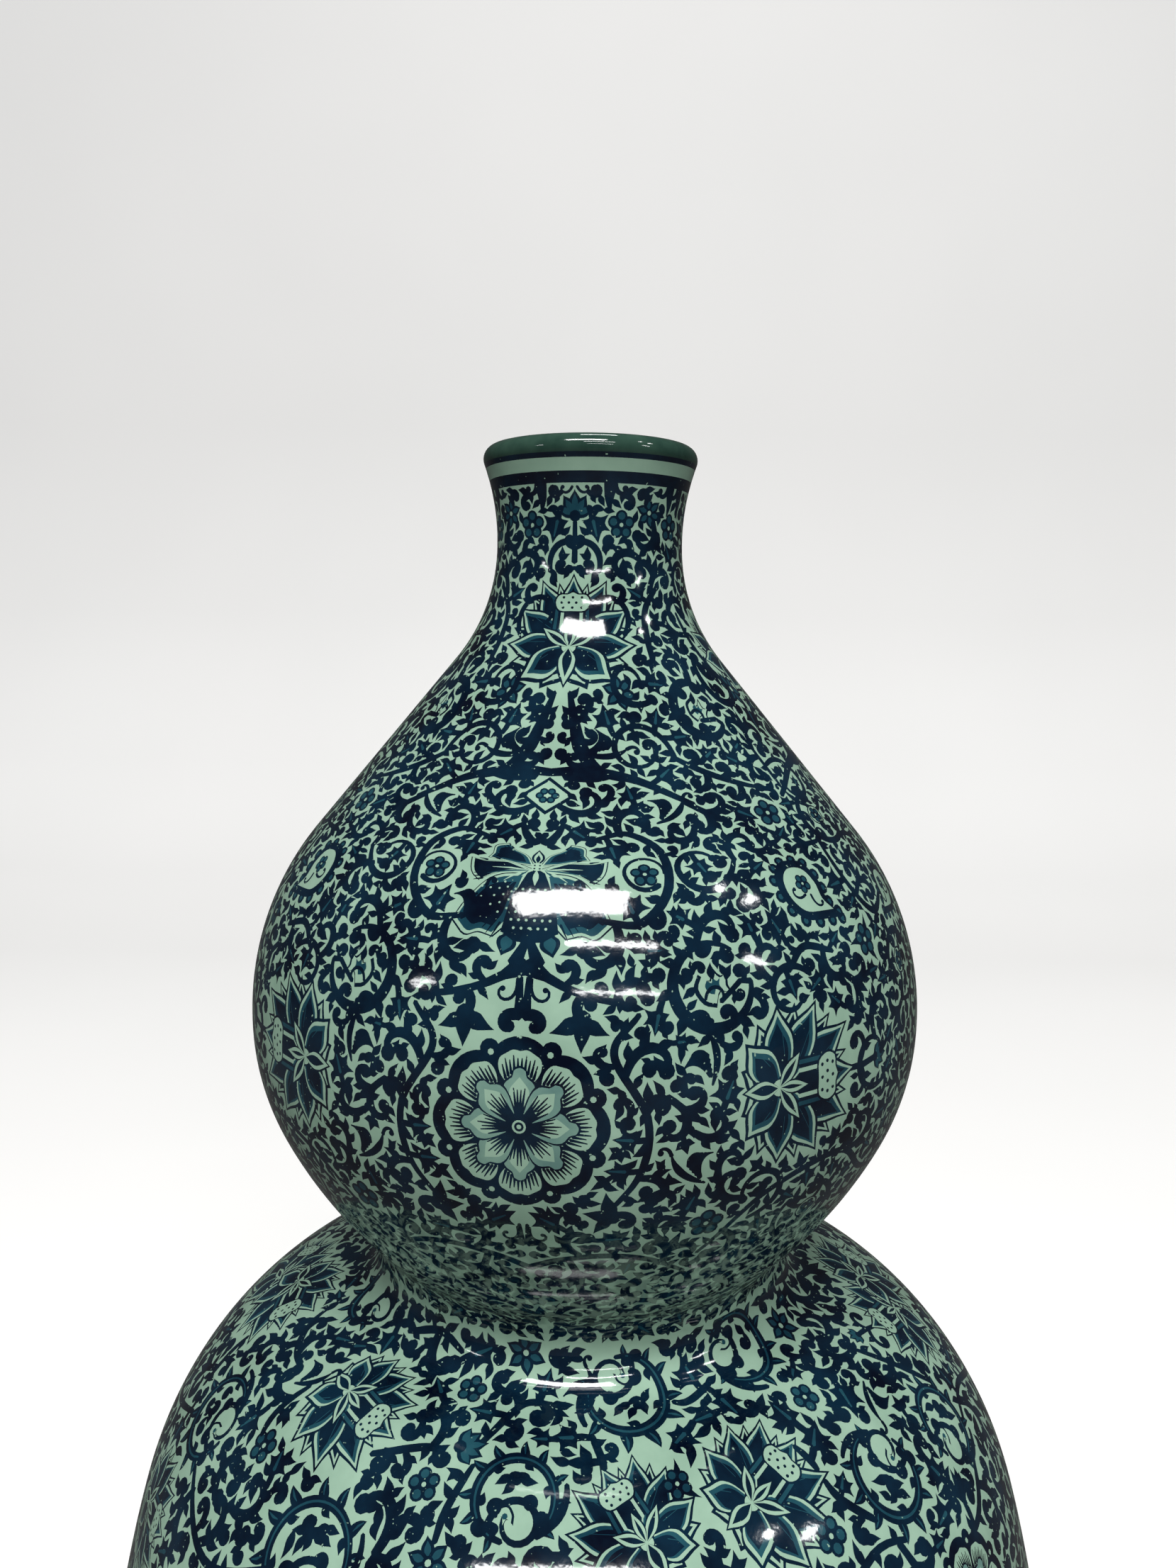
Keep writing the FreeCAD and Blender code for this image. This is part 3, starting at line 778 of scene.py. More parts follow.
# How the ground is filled: leaves that grow from stems first, then loose ones in what is left.
growSets = [
    # makers, sizes, rounds, share of the stems' edge that is tried, least share of neighbours
    ((sproutBranch, sproutCurl, sproutFork), (1.14, 1.02), 3, 0.10, 0.0),
    ((sproutCurl, sproutFork, sproutLeaf, sproutBranch), (0.98, 0.86), 4, 0.12, 0.10),
    ((sproutCurl, sproutLeaf, sproutComma, sproutTrefoil, sproutFork), (0.82, 0.72), 4, 0.14, 0.14),
    ((sproutComma, sproutTrefoil, sproutLeaf, sproutCurl), (0.68, 0.58), 3, 0.14, 0.16),
]
lastGrowth = [((sproutComma, sproutTip, sproutTrefoil), (0.62, 0.52), 2, 0.12, 0.16)]
fillerSets = [
    # makers, sizes, room wanted at the middle in millimetres, rounds, least share of neighbours
    ((thornScroll, scrollPair, fleur, lobedLeaf), (0.9, 1.0), 2.2, 2, 0.10),
    ((thornScroll, scrollPair, fleur, trefoil, tulipLeaf, lobedLeaf, smallFlower), (0.74, 0.82),
     1.7, 3, 0.18),
    ((thornScroll, curledLeaf, trefoil, doubleCurl, lobedLeaf), (0.58, 0.66), 1.35, 4, 0.18),
    ((curledLeaf, trefoil, comma), (0.50, 0.60), 1.1, 3, 0.14),
]
fillerLook = {
    "gap": 0.42, "near": 1.15,      # free edge round a leaf, and how far its neighbours are counted
    "cell": 0.32, "probe": 0.40,    # spacing of the taken grid and of a leaf's places
    "variants": 4, "turns": 10,     # drawings of each leaf, and turns in which each is tried
    "looks": 3, "probes": 16,       # leaves tried at a place, and places looked at first
    "tries": 0.8, "moreTries": 12, "shift": 0.8, "snug": 1.5, "roomSteps": 44,
    "weight": 0.90, "weightFall": 0.35,     # brush width of a leaf of size 1, and its fall with size
    "root": 1.7,                    # radius round a leaf's root where its stem may lie
    "seed": 11,
}


def insideShape(points, x, y):
    # which places lie in the outline, counted by winding, so that a stroke may cross itself
    x0, y0 = points[:, 0:1], points[:, 1:2]
    x1, y1 = np.roll(x0, -1, 0), np.roll(y0, -1, 0)
    cross = (x1 - x0) * (y - y0) - (x - x0) * (y1 - y0)
    rising = (y0 <= y) & (y1 > y) & (cross > 0)
    falling = (y1 <= y) & (y0 > y) & (cross < 0)
    return (rising.sum(0) - falling.sum(0)) != 0


def offLine(points, start, chord):
    # twice the area between a chord and a point
    x, y = (points - start).T
    return np.abs(chord[:, 0] * y - chord[:, 1] * x)


def thinned(points, slack=0.02):
    # leaves out every second point that lies almost in line with its neighbours
    for _ in range(2):
        if len(points) < 8:
            break
        before, after = np.roll(points, 1, 0), np.roll(points, -1, 0)
        chord = after - before
        off = offLine(points, before, chord) / np.maximum(np.hypot(*chord.T), 1e-9)
        points = points[(off >= slack) | (np.arange(len(points)) % 2 == 0)]
    return points


def spread(mask, steps):
    # grows a mask by so many cells, roughly round
    for k in range(steps):
        grown = mask.copy()
        grown[1:] |= mask[:-1]
        grown[:-1] |= mask[1:]
        grown[:, 1:] |= mask[:, :-1]
        grown[:, :-1] |= mask[:, 1:]
        if k % 2:
            grown[1:, 1:] |= mask[:-1, :-1]
            grown[:-1, :-1] |= mask[1:, 1:]
            grown[1:, :-1] |= mask[:-1, 1:]
            grown[:-1, 1:] |= mask[1:, :-1]
        mask = grown
    return mask


turnCount = fillerLook["turns"]
leafTurns = [(k * 360 / turnCount, flip) for k in range(turnCount) for flip in (False, True)]


class Filler:
    # one drawn leaf with the places that must be free for it, and those just round it, in every turn
    def __init__(self, shapes, size, gap, rooted):
        shapes = moved(shapes, size=size)
        step, near = fillerLook["probe"], fillerLook["near"] + gap - fillerLook["gap"]
        everything = np.vstack([p for p, _ in shapes])
        low, high = everything.min(0) - near - step * 2, everything.max(0) + near + step * 2
        gx, gy = np.meshgrid(np.arange(low[0], high[0], step), np.arange(low[1], high[1], step))
        mask = np.zeros(gx.size, bool)
        for points, _ in shapes:
            mask |= insideShape(points, gx.ravel(), gy.ravel())
        core = spread(mask.reshape(gx.shape), round(gap / step))
        ring = spread(core, round((near - gap) / step)) & ~core
        core = np.column_stack([gx[core], gy[core]])
        middle = np.zeros(2) if rooted else core.mean(0)
        self.shapes = [(points - middle, ink) for points, ink in shapes]
        core = core - middle
        if rooted:
            core = core[np.hypot(*core.T) > (fillerLook["root"] + gap - fillerLook["gap"]) * size**0.5]
        ring = np.column_stack([gx[ring], gy[ring]])[::3] - middle
        far = np.argsort(-np.hypot(*core.T))
        fifth = len(far) // 5
        probes = [far[:fifth][::max(1, len(far) // 40)], far[fifth::max(1, len(far) // 10)]]
        probes = core[np.concatenate(probes)[:fillerLook["probes"]]]
        self.core, self.ring, self.probes = (self.turned(p) for p in (core, ring, probes))

    def turned(self, points):
        copies = [moved([(points, "")], turn=turn, flip=flip)[0][0] for turn, flip in leafTurns]
        return np.array(copies, np.float32)


class PaintZone:
    # a stretch of the plane with its painted shapes and a grid of what is taken
    def __init__(self, name, width, low, high, wraps, startAngle, leafScale, gap):
        self.name, self.width, self.low, self.high, self.wraps = name, width, low, high, wraps
        self.startAngle, self.leafScale, self.gap = startAngle, leafScale, gap
        self.cell = fillerLook["cell"]
        self.cols = int(round(width / self.cell))
        self.rows = int(round((high - low) / self.cell))
        self.taken = np.zeros((self.rows, self.cols), bool)
        self.stems = self.taken.copy()
        self.shapes = []

    def middle(self, row, col):
        high = self.low + (row + 0.5) * (self.high - self.low) / self.rows
        return (col + 0.5) * self.width / self.cols, high

    def look(self, u, v):
        col = np.floor(u / self.width * self.cols).astype(int)
        row = np.floor((v - self.low) / (self.high - self.low) * self.rows).astype(int)
        off = (row < 0) | (row >= self.rows)
        if self.wraps:
            col %= self.cols
        else:
            off |= (col < 0) | (col >= self.cols)
        taken = np.ones(len(col), bool)
        taken[~off] = self.taken[row[~off], col[~off]]
        return taken

    def mark(self, points, grow=0.0, isStem=False):
        (left, low), (right, high) = points.min(0) - grow, points.max(0) + grow
        cols = np.arange(math.floor(left / self.width * self.cols),
                         math.ceil(right / self.width * self.cols) + 1)
        rows = np.arange(max(0, math.floor((low - self.low) / self.cell)),
                         min(self.rows, math.ceil((high - self.low) / self.cell) + 1))
        if not self.wraps:
            cols = cols[(cols >= 0) & (cols < self.cols)]
        if not len(cols) or not len(rows):
            return
        gx, gy = np.meshgrid((cols + 0.5) / self.cols * self.width,
                             (rows + 0.5) / self.rows * (self.high - self.low) + self.low)
        hit = insideShape(points, gx.ravel(), gy.ravel()).reshape(gx.shape)
        if grow:
            hit = spread(hit, max(1, round(grow / self.cell)))
        for grid in (self.taken, self.stems) if isStem else (self.taken,):
            grid[rows[:, None], (cols % self.cols)[None, :]] |= hit

    def paint(self, shapes, place, turn=0, clear=0.0, flip=False, size=1):
        # at a place of the plane, with so many millimetres kept clear round it
        u, v, radius = place
        for points, ink in moved(shapes, turn=turn, size=size, flip=flip):
            plane = np.array([u, v]) + thinned(points) * planeScale / radius
            self.shapes.append((plane, ink))
            self.mark(plane, clear * planeScale / radius, ink == "navy" and not clear)

    def put(self, shapes, angle, height, *how):
        self.paint(shapes, spot(angle + self.startAngle, height), *how)

    def band(self, lowHeight, highHeight, ink):
        low, high = planeHeight(lowHeight), planeHeight(highHeight)
        across = np.linspace(-5, self.width + 5, 260)[:, None]
        edge = np.vstack([np.hstack([across, across * 0 + low]),
                          np.hstack([across[::-1], across * 0 + high])])
        self.shapes.append((edge, ink))
        rows = (np.array([low, high]) - self.low) / (self.high - self.low) * self.rows
        self.taken[max(0, int(rows[0])):int(rows[1]) + 1] = True

    def report(self, what, placed):
        taken, seconds = round(float(self.taken.mean()), 3), round(time.time() - startTime)
        print(what, "on", self.name, placed, "taken", taken, seconds, "s", flush=True)


vineLook = {
    "width": 1.25, "spacing": 4.6,      # millimetres
    # size and side of the curls that are tried at a place, the first that fits is taken
    "curls": ((1.1, 1), (0.85, 1), (1.0, -1), (0.7, 1), (0.55, -1)),
}


def vine(zone, stops, rng):
    # a smooth stem through places on the vase, with curls on both sides wherever there is room
    places = [spot(angle + zone.startAngle, height)[:2] for angle, height in stops]
    line = curve(places, closed=False, perSpan=12)
    zoom = planeScale / radiusAt(line[:, 1].mean())
    width, spacing = vineLook["width"] * zone.leafScale**0.5, vineLook["spacing"]
    free = ~zone.look(line[:, 0], line[:, 1])
    edges = np.flatnonzero(np.diff(np.concatenate([[0], free.astype(int), [0]])))
    pieces = [line[max(0, a - 1):b + 1] for a, b in zip(edges[::2], edges[1::2]) if b - a > 5]
    if not pieces:
        return
    for part in pieces:
        stalk = stroke(part, [w * zoom for w in (width * 0.7, width, width, width, width * 0.7)])
        zone.shapes += stalk
        zone.mark(stalk[0][0], isStem=True)
    line = np.vstack(pieces)
    run = np.concatenate([[0], np.cumsum(np.hypot(*np.diff(line, axis=0).T))]) / zoom
    side = 1
    for at in np.arange(spacing * 0.6, run[-1], spacing):
        i = min(max(int(np.searchsorted(run, at)), 1), len(line) - 2)
        heading = headingOf(line[i + 1] - line[i - 1])
        side = -side
        for size, hand in vineLook["curls"]:
            way = side * hand
            leaf = hook(0, 0, 0, wobble(rng, 6.6), wobble(rng, 215) * way, (1.3, 1.9, 1.4, 1.0), 1.2)
            leaf += blade(1.6, 0, -40 * way, wobble(rng, 3.0), 1.7, 25 * way) + blade(0, 0, 178, 2.2, 1.4, 0)
            leaf = moved(leaf, turn=heading + way * 42, size=size * zone.leafScale)
            spots = np.vstack([points for points, _ in leaf])
            spots = spots[np.hypot(*spots.T) > 1.6] * 1.12 * zoom + line[i]
            if not zone.look(spots[:, 0], spots[:, 1]).any():
                zone.paint(leaf, (*line[i], radiusAt(line[i][1])))
                break


def roomLeft(zone):
    # distance of every free cell from what is taken, in millimetres on the vase
    free = ~zone.taken
    room = np.zeros(free.shape, np.int16)
    for k in range(fillerLook["roomSteps"]):
        room += free
        free = ~spread(~free, 1 + k % 2)
        if not zone.wraps:
            free[:, 0] = free[:, -1] = False
        if not free.any():
            break
    radii = np.interp(zone.middle(np.arange(zone.rows), 0)[1] / planeScale, outside.v, outside.r)
    return room * 1.5 * zone.cell * (radii / planeScale)[:, None], radii


def bestFit(zone, library, u, v, zoom, wantedShare, rng):
    # of a few leaves in every turn, the one that lies snugly in the free ground
    best, bestShare = None, wantedShare
    for leaf in (rng.choice(library) for _ in range(fillerLook["looks"])):
        probes = leaf.probes.reshape(-1, 2) * zoom
        free = ~zone.look(probes[:, 0] + u, probes[:, 1] + v).reshape(len(leafTurns), -1).any(1)
        for k in np.nonzero(free)[0]:
            if zone.look(leaf.core[k, :, 0] * zoom + u, leaf.core[k, :, 1] * zoom + v).any():
                continue
            share = zone.look(leaf.ring[k, :, 0] * zoom + u, leaf.ring[k, :, 1] * zoom + v).mean()
            if share >= bestShare:
                best, bestShare = (leaf, *leafTurns[k]), share
    if best:
        zone.paint(best[0].shapes, (u, v, radiusAt(v)), turn=best[1], flip=best[2])
    return best is not None


def makeLibrary(zone, makers, sizes, rooted, rng):
    library = []
    for size in sizes:
        pen["weight"] = fillerLook["weight"] * size**-fillerLook["weightFall"]
        size *= zone.leafScale
        library += [Filler(maker(rng), size, zone.gap, rooted)
                    for maker in makers for _ in range(fillerLook["variants"])]
    pen["weight"] = 1.0
    return library


def growLeaves(zone, sets, rng):
    for makers, sizes, rounds, share, wantedShare in sets:
        library = makeLibrary(zone, makers, sizes, True, rng)
        placed = 0
        for _ in range(rounds):
            rows, cols = np.nonzero(zone.stems & spread(~zone.taken, 2))
            for _ in range(int(len(rows) * share)):
                i = rng.randrange(len(rows))
                u, v = zone.middle(rows[i], cols[i])
                placed += bestFit(zone, library, u, v, planeScale / radiusAt(v), wantedShare, rng)
        zone.report("leaves", placed)


def fillGround(zone, rng):
    for makers, sizes, wantedRoom, rounds, wantedShare in fillerSets:
        library = makeLibrary(zone, makers, sizes, False, rng)
        placed = 0
        wantedRoom = wantedRoom * zone.leafScale
        for turnOfRound in range(rounds):
            room, radii = roomLeft(zone)
            # narrow places first, any place in the last round
            snug = wantedRoom * (fillerLook["snug"] if turnOfRound < rounds - 1 else 9)
            rows, cols = np.nonzero((room >= wantedRoom) & (room <= snug))
            if not len(rows):
                rows, cols = np.nonzero(room >= wantedRoom)
            if not len(rows):
                break
            # as many tries as the free ground has room for, and a few more
            cellArea = (zone.cell * radii[rows] / planeScale)**2
            chances = np.cumsum(cellArea)
            tries = int(cellArea.sum() / wantedRoom**2 * fillerLook["tries"])
            for _ in range(tries + fillerLook["moreTries"]):
                i = int(np.searchsorted(chances, rng.random() * chances[-1]))
                if zone.taken[rows[i], cols[i]]:
                    continue
                u, v = zone.middle(rows[i], cols[i])
                zoom, shift = planeScale / radii[rows[i]], fillerLook["shift"]
                u, v = u + rng.uniform(-shift, shift) * zoom, v + rng.uniform(-shift, shift) * zoom
                placed += bestFit(zone, library, u, v, zoom, wantedShare, rng)
        zone.report("filler", placed)


# The meshes of the glaze: the painted plane is cut along every outline and wrapped round the vase.
inkOrder = ("pale", "navy", "teal", "washed", "rim")
skinLook = {
    "gridStep": 3.2, "edgeStep": 1.0,       # millimetres between rows of points, degrees along an edge
    "snap": 1e-5, "onEdge": 1e-4,           # points this near are one, or lie on an edge
    "slack": 0.03, "longest": 3.0,          # how far a dropped point may lie off its line, and its length
}


def cutFaces(zone, points, edges, painted):
    # triangles between the lines, each with the ink of the last shape that covers it
    verts, _, faces, *_ = delaunay_2d_cdt([Vector(p) for p in points], edges, [], 0, skinLook["snap"], False)
    verts = np.array([(p.x, p.y) for p in verts])
    faces = np.array([f for f in faces if len(f) == 3])
    u, v = verts[faces].mean(1).T
    keep = (u > 0) & (u < zone.width) & (v > zone.low) & (v < zone.high)
    faces, u, v = faces[keep], u[keep], v[keep]
    order = np.argsort(u)
    faces, u, v = faces[order], u[order], v[order]
    inks = np.zeros(len(faces), int)
    for loop, ink in painted:
        (left, low), (right, high) = loop.min(0), loop.max(0)
        near = np.arange(*np.searchsorted(u, (left, right)))
        near = near[(v[near] >= low) & (v[near] <= high)]
        if len(near):
            inks[near[insideShape(loop, u[near], v[near])]] = inkOrder.index(ink)
    return verts, faces, inks, v


def seenLines(zone, levels, cut):
    # only the lines between two inks and the zone's own edges, without the points that hardly bend them
    verts, faces, inks, _ = cut
    pairs = np.sort(faces[:, [0, 1, 1, 2, 2, 0]].reshape(-1, 2), axis=1)
    owner = np.repeat(inks, 3)
    order = np.lexsort((owner, pairs[:, 1], pairs[:, 0]))
    pairs, owner = pairs[order], owner[order]
    start = np.concatenate([[True], (np.diff(pairs, axis=0) != 0).any(1)])
    group = np.cumsum(start) - 1
    highest = np.zeros(group[-1] + 1, int)
    np.maximum.at(highest, group, owner)
    lines = pairs[start]
    near = skinLook["onEdge"]
    onLevel = (np.abs(verts[:, 1:2] - np.array([levels])) < near).any(1)
    held = onLevel | (verts[:, 0] < near) | (verts[:, 0] > zone.width - near)
    along = onLevel[lines].all(1) & (np.abs(np.diff(verts[lines, 1])[:, 0]) < near)
    lines = lines[(owner[start] != highest) | (np.bincount(group) == 1) | along]
    for _ in range(3):
        degree = np.bincount(lines.ravel(), minlength=len(verts))
        ends = np.concatenate([lines, lines[:, ::-1]])
        ends = ends[np.argsort(ends[:, 0], kind="stable")]
        first = np.searchsorted(ends[:, 0], np.arange(len(verts)))
        loose = np.nonzero((degree == 2) & ~held)[0]
        a, b = ends[first[loose], 1], ends[first[loose] + 1, 1]
        chord = verts[b] - verts[a]
        reach = np.hypot(*chord.T)
        off = offLine(verts[loose], verts[a], chord) / np.maximum(reach, 1e-9)
        flat = (off < skinLook["slack"]) & (reach < skinLook["longest"]) & (a != b)
        spare, chosen = np.zeros((2, len(verts)), bool)
        spare[loose[flat]] = True
        # neighbours never go together: the lower number goes first
        alone = (~spare[a] | (a > loose)) & (~spare[b] | (b > loose)) & flat
        chosen[loose[alone]] = True
        lines = np.vstack([lines[~chosen[lines].any(1)], np.column_stack([a, b])[alone]])
    used, lines = np.unique(lines, return_inverse=True)
    return verts[used], lines.reshape(-1, 2)


def cutPlane(zone, splits):
    width = zone.width
    painted = []
    for loop, ink in zone.shapes:
        left, right = loop[:, 0].min(), loop[:, 0].max()
        for shift in (-width, 0, width) if zone.wraps else (0,):
            if not zone.wraps or (right + shift > -1 and left + shift < width + 1):
                painted.append((loop + [shift, 0], ink))
    count = max(2, int(round(math.degrees(width / planeScale) / skinLook["edgeStep"])))
    columns = np.linspace(0, width, count + 1)
    gridStep = lambda v: skinLook["gridStep"] * planeScale / radiusAt(v)
    heights = [zone.low]
    while heights[-1] < zone.high:
        heights.append(heights[-1] + gridStep(heights[-1]))
    sideRows = [v for v in heights if v < zone.high - 0.5] + [zone.high]
    levels = [zone.low, *splits, zone.high]
    chains = [(loop, True) for loop, _ in painted]
    chains += [(np.column_stack([columns, columns * 0 + v]), False) for v in levels]
    chains += [(np.column_stack([np.full(len(sideRows), u), sideRows]), False) for u in (0, width)]
    points, edges = [], []
    for chain, closed in chains:
        start, count = len(points), len(chain)
        points.extend(chain.tolist())
        edges.extend((start + k, start + (k + 1) % count) for k in range(count if closed else count - 1))
    points, lines = seenLines(zone, levels, cutFaces(zone, points, edges, painted))
    # rows of points in between keep the curved wall round
    extra = []
    for k, v in enumerate(heights[1:-1]):
        count = max(4, int(width / gridStep(v)))
        extra += [((j + (0.25 if k % 2 else 0.75)) * width / count, v) for j in range(count)]
    return cutFaces(zone, points.tolist() + extra, lines.tolist(), painted)


def wrapCopies(cut, axis, copies):
    # mirrored zones turn into pairs on both sides of their axis, wrapping ones are only turned
    verts, faces, inks, middle = cut
    places, allFaces = [], []
    for k, (turn, flip) in enumerate(copies):
        angle = axis + math.radians(turn) + (-1 if flip else 1) * verts[:, 0] / planeScale
        places.append(np.column_stack([angle, verts[:, 1] / planeScale]))
        allFaces.append((faces[:, ::-1] if flip else faces) + k * len(verts))
    places, faces = np.vstack(places), np.vstack(allFaces)
    inks, middle = np.tile(inks, len(copies)), np.tile(middle, len(copies))
    places[:, 0] = np.mod(places[:, 0] + 1e-7, 2 * math.pi) - 1e-7
    keys = np.round(places * 2e5).astype(np.int64)
    _, first, back = np.unique(keys, axis=0, return_index=True, return_inverse=True)
    faces = back.reshape(-1)[faces]
    whole = (faces[:, 0] != faces[:, 1]) & (faces[:, 1] != faces[:, 2]) & (faces[:, 2] != faces[:, 0])
    return places[first], faces[whole], inks[whole], middle[whole]


def makePiece(name, spots, faces, materials):
    mesh = bpy.data.meshes.new(name)
    mesh.from_pydata(spots, [], faces)
    mesh.update()
    for material in materials:
        mesh.materials.append(material)
    mesh.polygons.foreach_set("use_smooth", np.ones(len(faces), bool))
    piece = bpy.data.objects.new(name, mesh)
    bpy.context.collection.objects.link(piece)
    print(name, len(faces), "faces")
    return piece


def buildSkin(name, wrapped, low, high):
    # the part of the painting between two heights of the plane, laid on the turned outline
    places, faces, inks, middle = wrapped
    pick = (middle > low) & (middle < high)
    used, faces = np.unique(faces[pick], return_inverse=True)
    angle, v = places[used].T
    r, z, nr, nz = (np.interp(v, outside.v, getattr(outside, key)) for key in ("r", "z", "nr", "nz"))
    length = np.hypot(nr, nz)
    nr, nz = nr / length, nz / length
    spots = np.column_stack([r * np.sin(angle), -r * np.cos(angle), z]) * mm
    normals = np.column_stack([nr * np.sin(angle), -nr * np.cos(angle), nz])
    piece = makePiece(name, spots.tolist(), faces.reshape(-1, 3).tolist(), inkMaterials)
    piece.data.polygons.foreach_set("material_index", inks[pick].astype(np.int32))
    piece.data.normals_split_custom_set_from_vertices(normals.tolist())
    return piece


# Materials: linear colours of the glaze and its inks.
inkLook = {
    "pale": {"light": (0.312, 0.468, 0.352), "dark": (0.250, 0.388, 0.290)},
    "navy": {"light": (0.0030, 0.0175, 0.036), "dark": (0.0008, 0.0026, 0.0095)},
    "teal": {"light": (0.016, 0.075, 0.098), "dark": (0.004, 0.028, 0.046)},
    "washed": {"light": (0.200, 0.335, 0.265), "dark": (0.105, 0.205, 0.180)},
    "rim": {"light": (0.036, 0.080, 0.057), "dark": (0.012, 0.036, 0.027)},
}
glazeLook = {
    "roughness": 0.07, "peel": 0.000016, "peelScale": 620.0, "wave": 0.00003, "waveScale": 60.0,
    "cloudScale": 90, "grainScale": 700, "grain": 0.10, "speckScale": 1500, "IOR": 1.5,
}
black, white = (0, 0, 0), (1, 1, 1)


class Nodes:
    # short calls for building the nodes of a material or the world; a value may be another node's socket
    def __init__(self, owner, last):
        owner.use_nodes = True
        self.owner, self.tree = owner, owner.node_tree
        self.last = self.tree.nodes[last].inputs

    def set(self, socket, value):
        if isinstance(value, bpy.types.NodeSocket):
            self.tree.links.new(value, socket)
        else:
            socket.default_value = (*value, 1) if isinstance(value, tuple) else value

    def add(self, kind, values, **settings):
        node = self.tree.nodes.new("ShaderNode" + kind)
        for key, value in settings.items():
            setattr(node, key, value)
        for key, value in values.items():
            self.set(node.inputs[key], value)
        return node.outputs

    def noise(self, scale, detail=3.0, roughness=0.5):
        values = {"Vector": self.place, "Scale": scale, "Detail": detail, "Roughness": roughness}
        return self.add("TexNoise", values)["Fac"]

    def ramp(self, source, low, dark, high, light):
        color = self.add("ValToRGB", {"Fac": source})["Color"]
        for element, place, tone in zip(color.node.color_ramp.elements, (low, high), (dark, light)):
            element.position, element.color = place, (*tone, 1)
        return color

    def mix(self, amount, first, second):
        return self.add("Mix", {0: amount, 6: first, 7: second}, data_type="RGBA")[2]

    def bump(self, height, distance, **normal):
        return self.add("Bump", {"Distance": distance, "Strength": 1.0, "Height": height, **normal})["Normal"]

    def finish(self, values):
        for key, value in values.items():
            self.set(self.last[key], value)
        return self.owner


def newMaterial(name):
    nodes = Nodes(bpy.data.materials.new(name), "Principled BSDF")
    nodes.place = nodes.add("TexCoord", {})["Object"]
    return nodes


def inkMaterial(name):
    nodes, look, glaze = newMaterial("glaze_" + name), inkLook[name], glazeLook
    tone = nodes.ramp(nodes.noise(glaze["cloudScale"], 4.0, 0.6), 0.34, look["dark"], 0.66, look["light"])
    if name in ("navy", "teal"):
        # the brush leaves pools and thin places, and pale pin specks
        speck = nodes.ramp(nodes.noise(glaze["speckScale"], 1.0), 0.735, black, 0.765, white)
        tone = nodes.mix(speck, tone, inkLook["pale"]["dark"])
    else:
        grain = nodes.ramp(nodes.noise(glaze["grainScale"], 2.0), 0.3, look["dark"], 0.7, look["light"])
        tone = nodes.mix(glaze["grain"], tone, grain)
    peel = nodes.bump(nodes.noise(glaze["peelScale"], 2.0), glaze["peel"])
    wave = nodes.bump(nodes.noise(glaze["waveScale"], 2.0), glaze["wave"], Normal=peel)
    return nodes.finish({"Base Color": tone, "Roughness": glaze["roughness"], "IOR": glaze["IOR"],
                         "Normal": wave})


inkMaterials = [inkMaterial(name) for name in inkOrder]
print("inks ready")

# Upper zone: a quarter turn, mirrored about the column that faces the viewer.
upperLook = {"axis": -8.5, "bandTop": 348.4, "bandMid": 346.2, "bandLow": 344.2, "rimWash": 349.3}


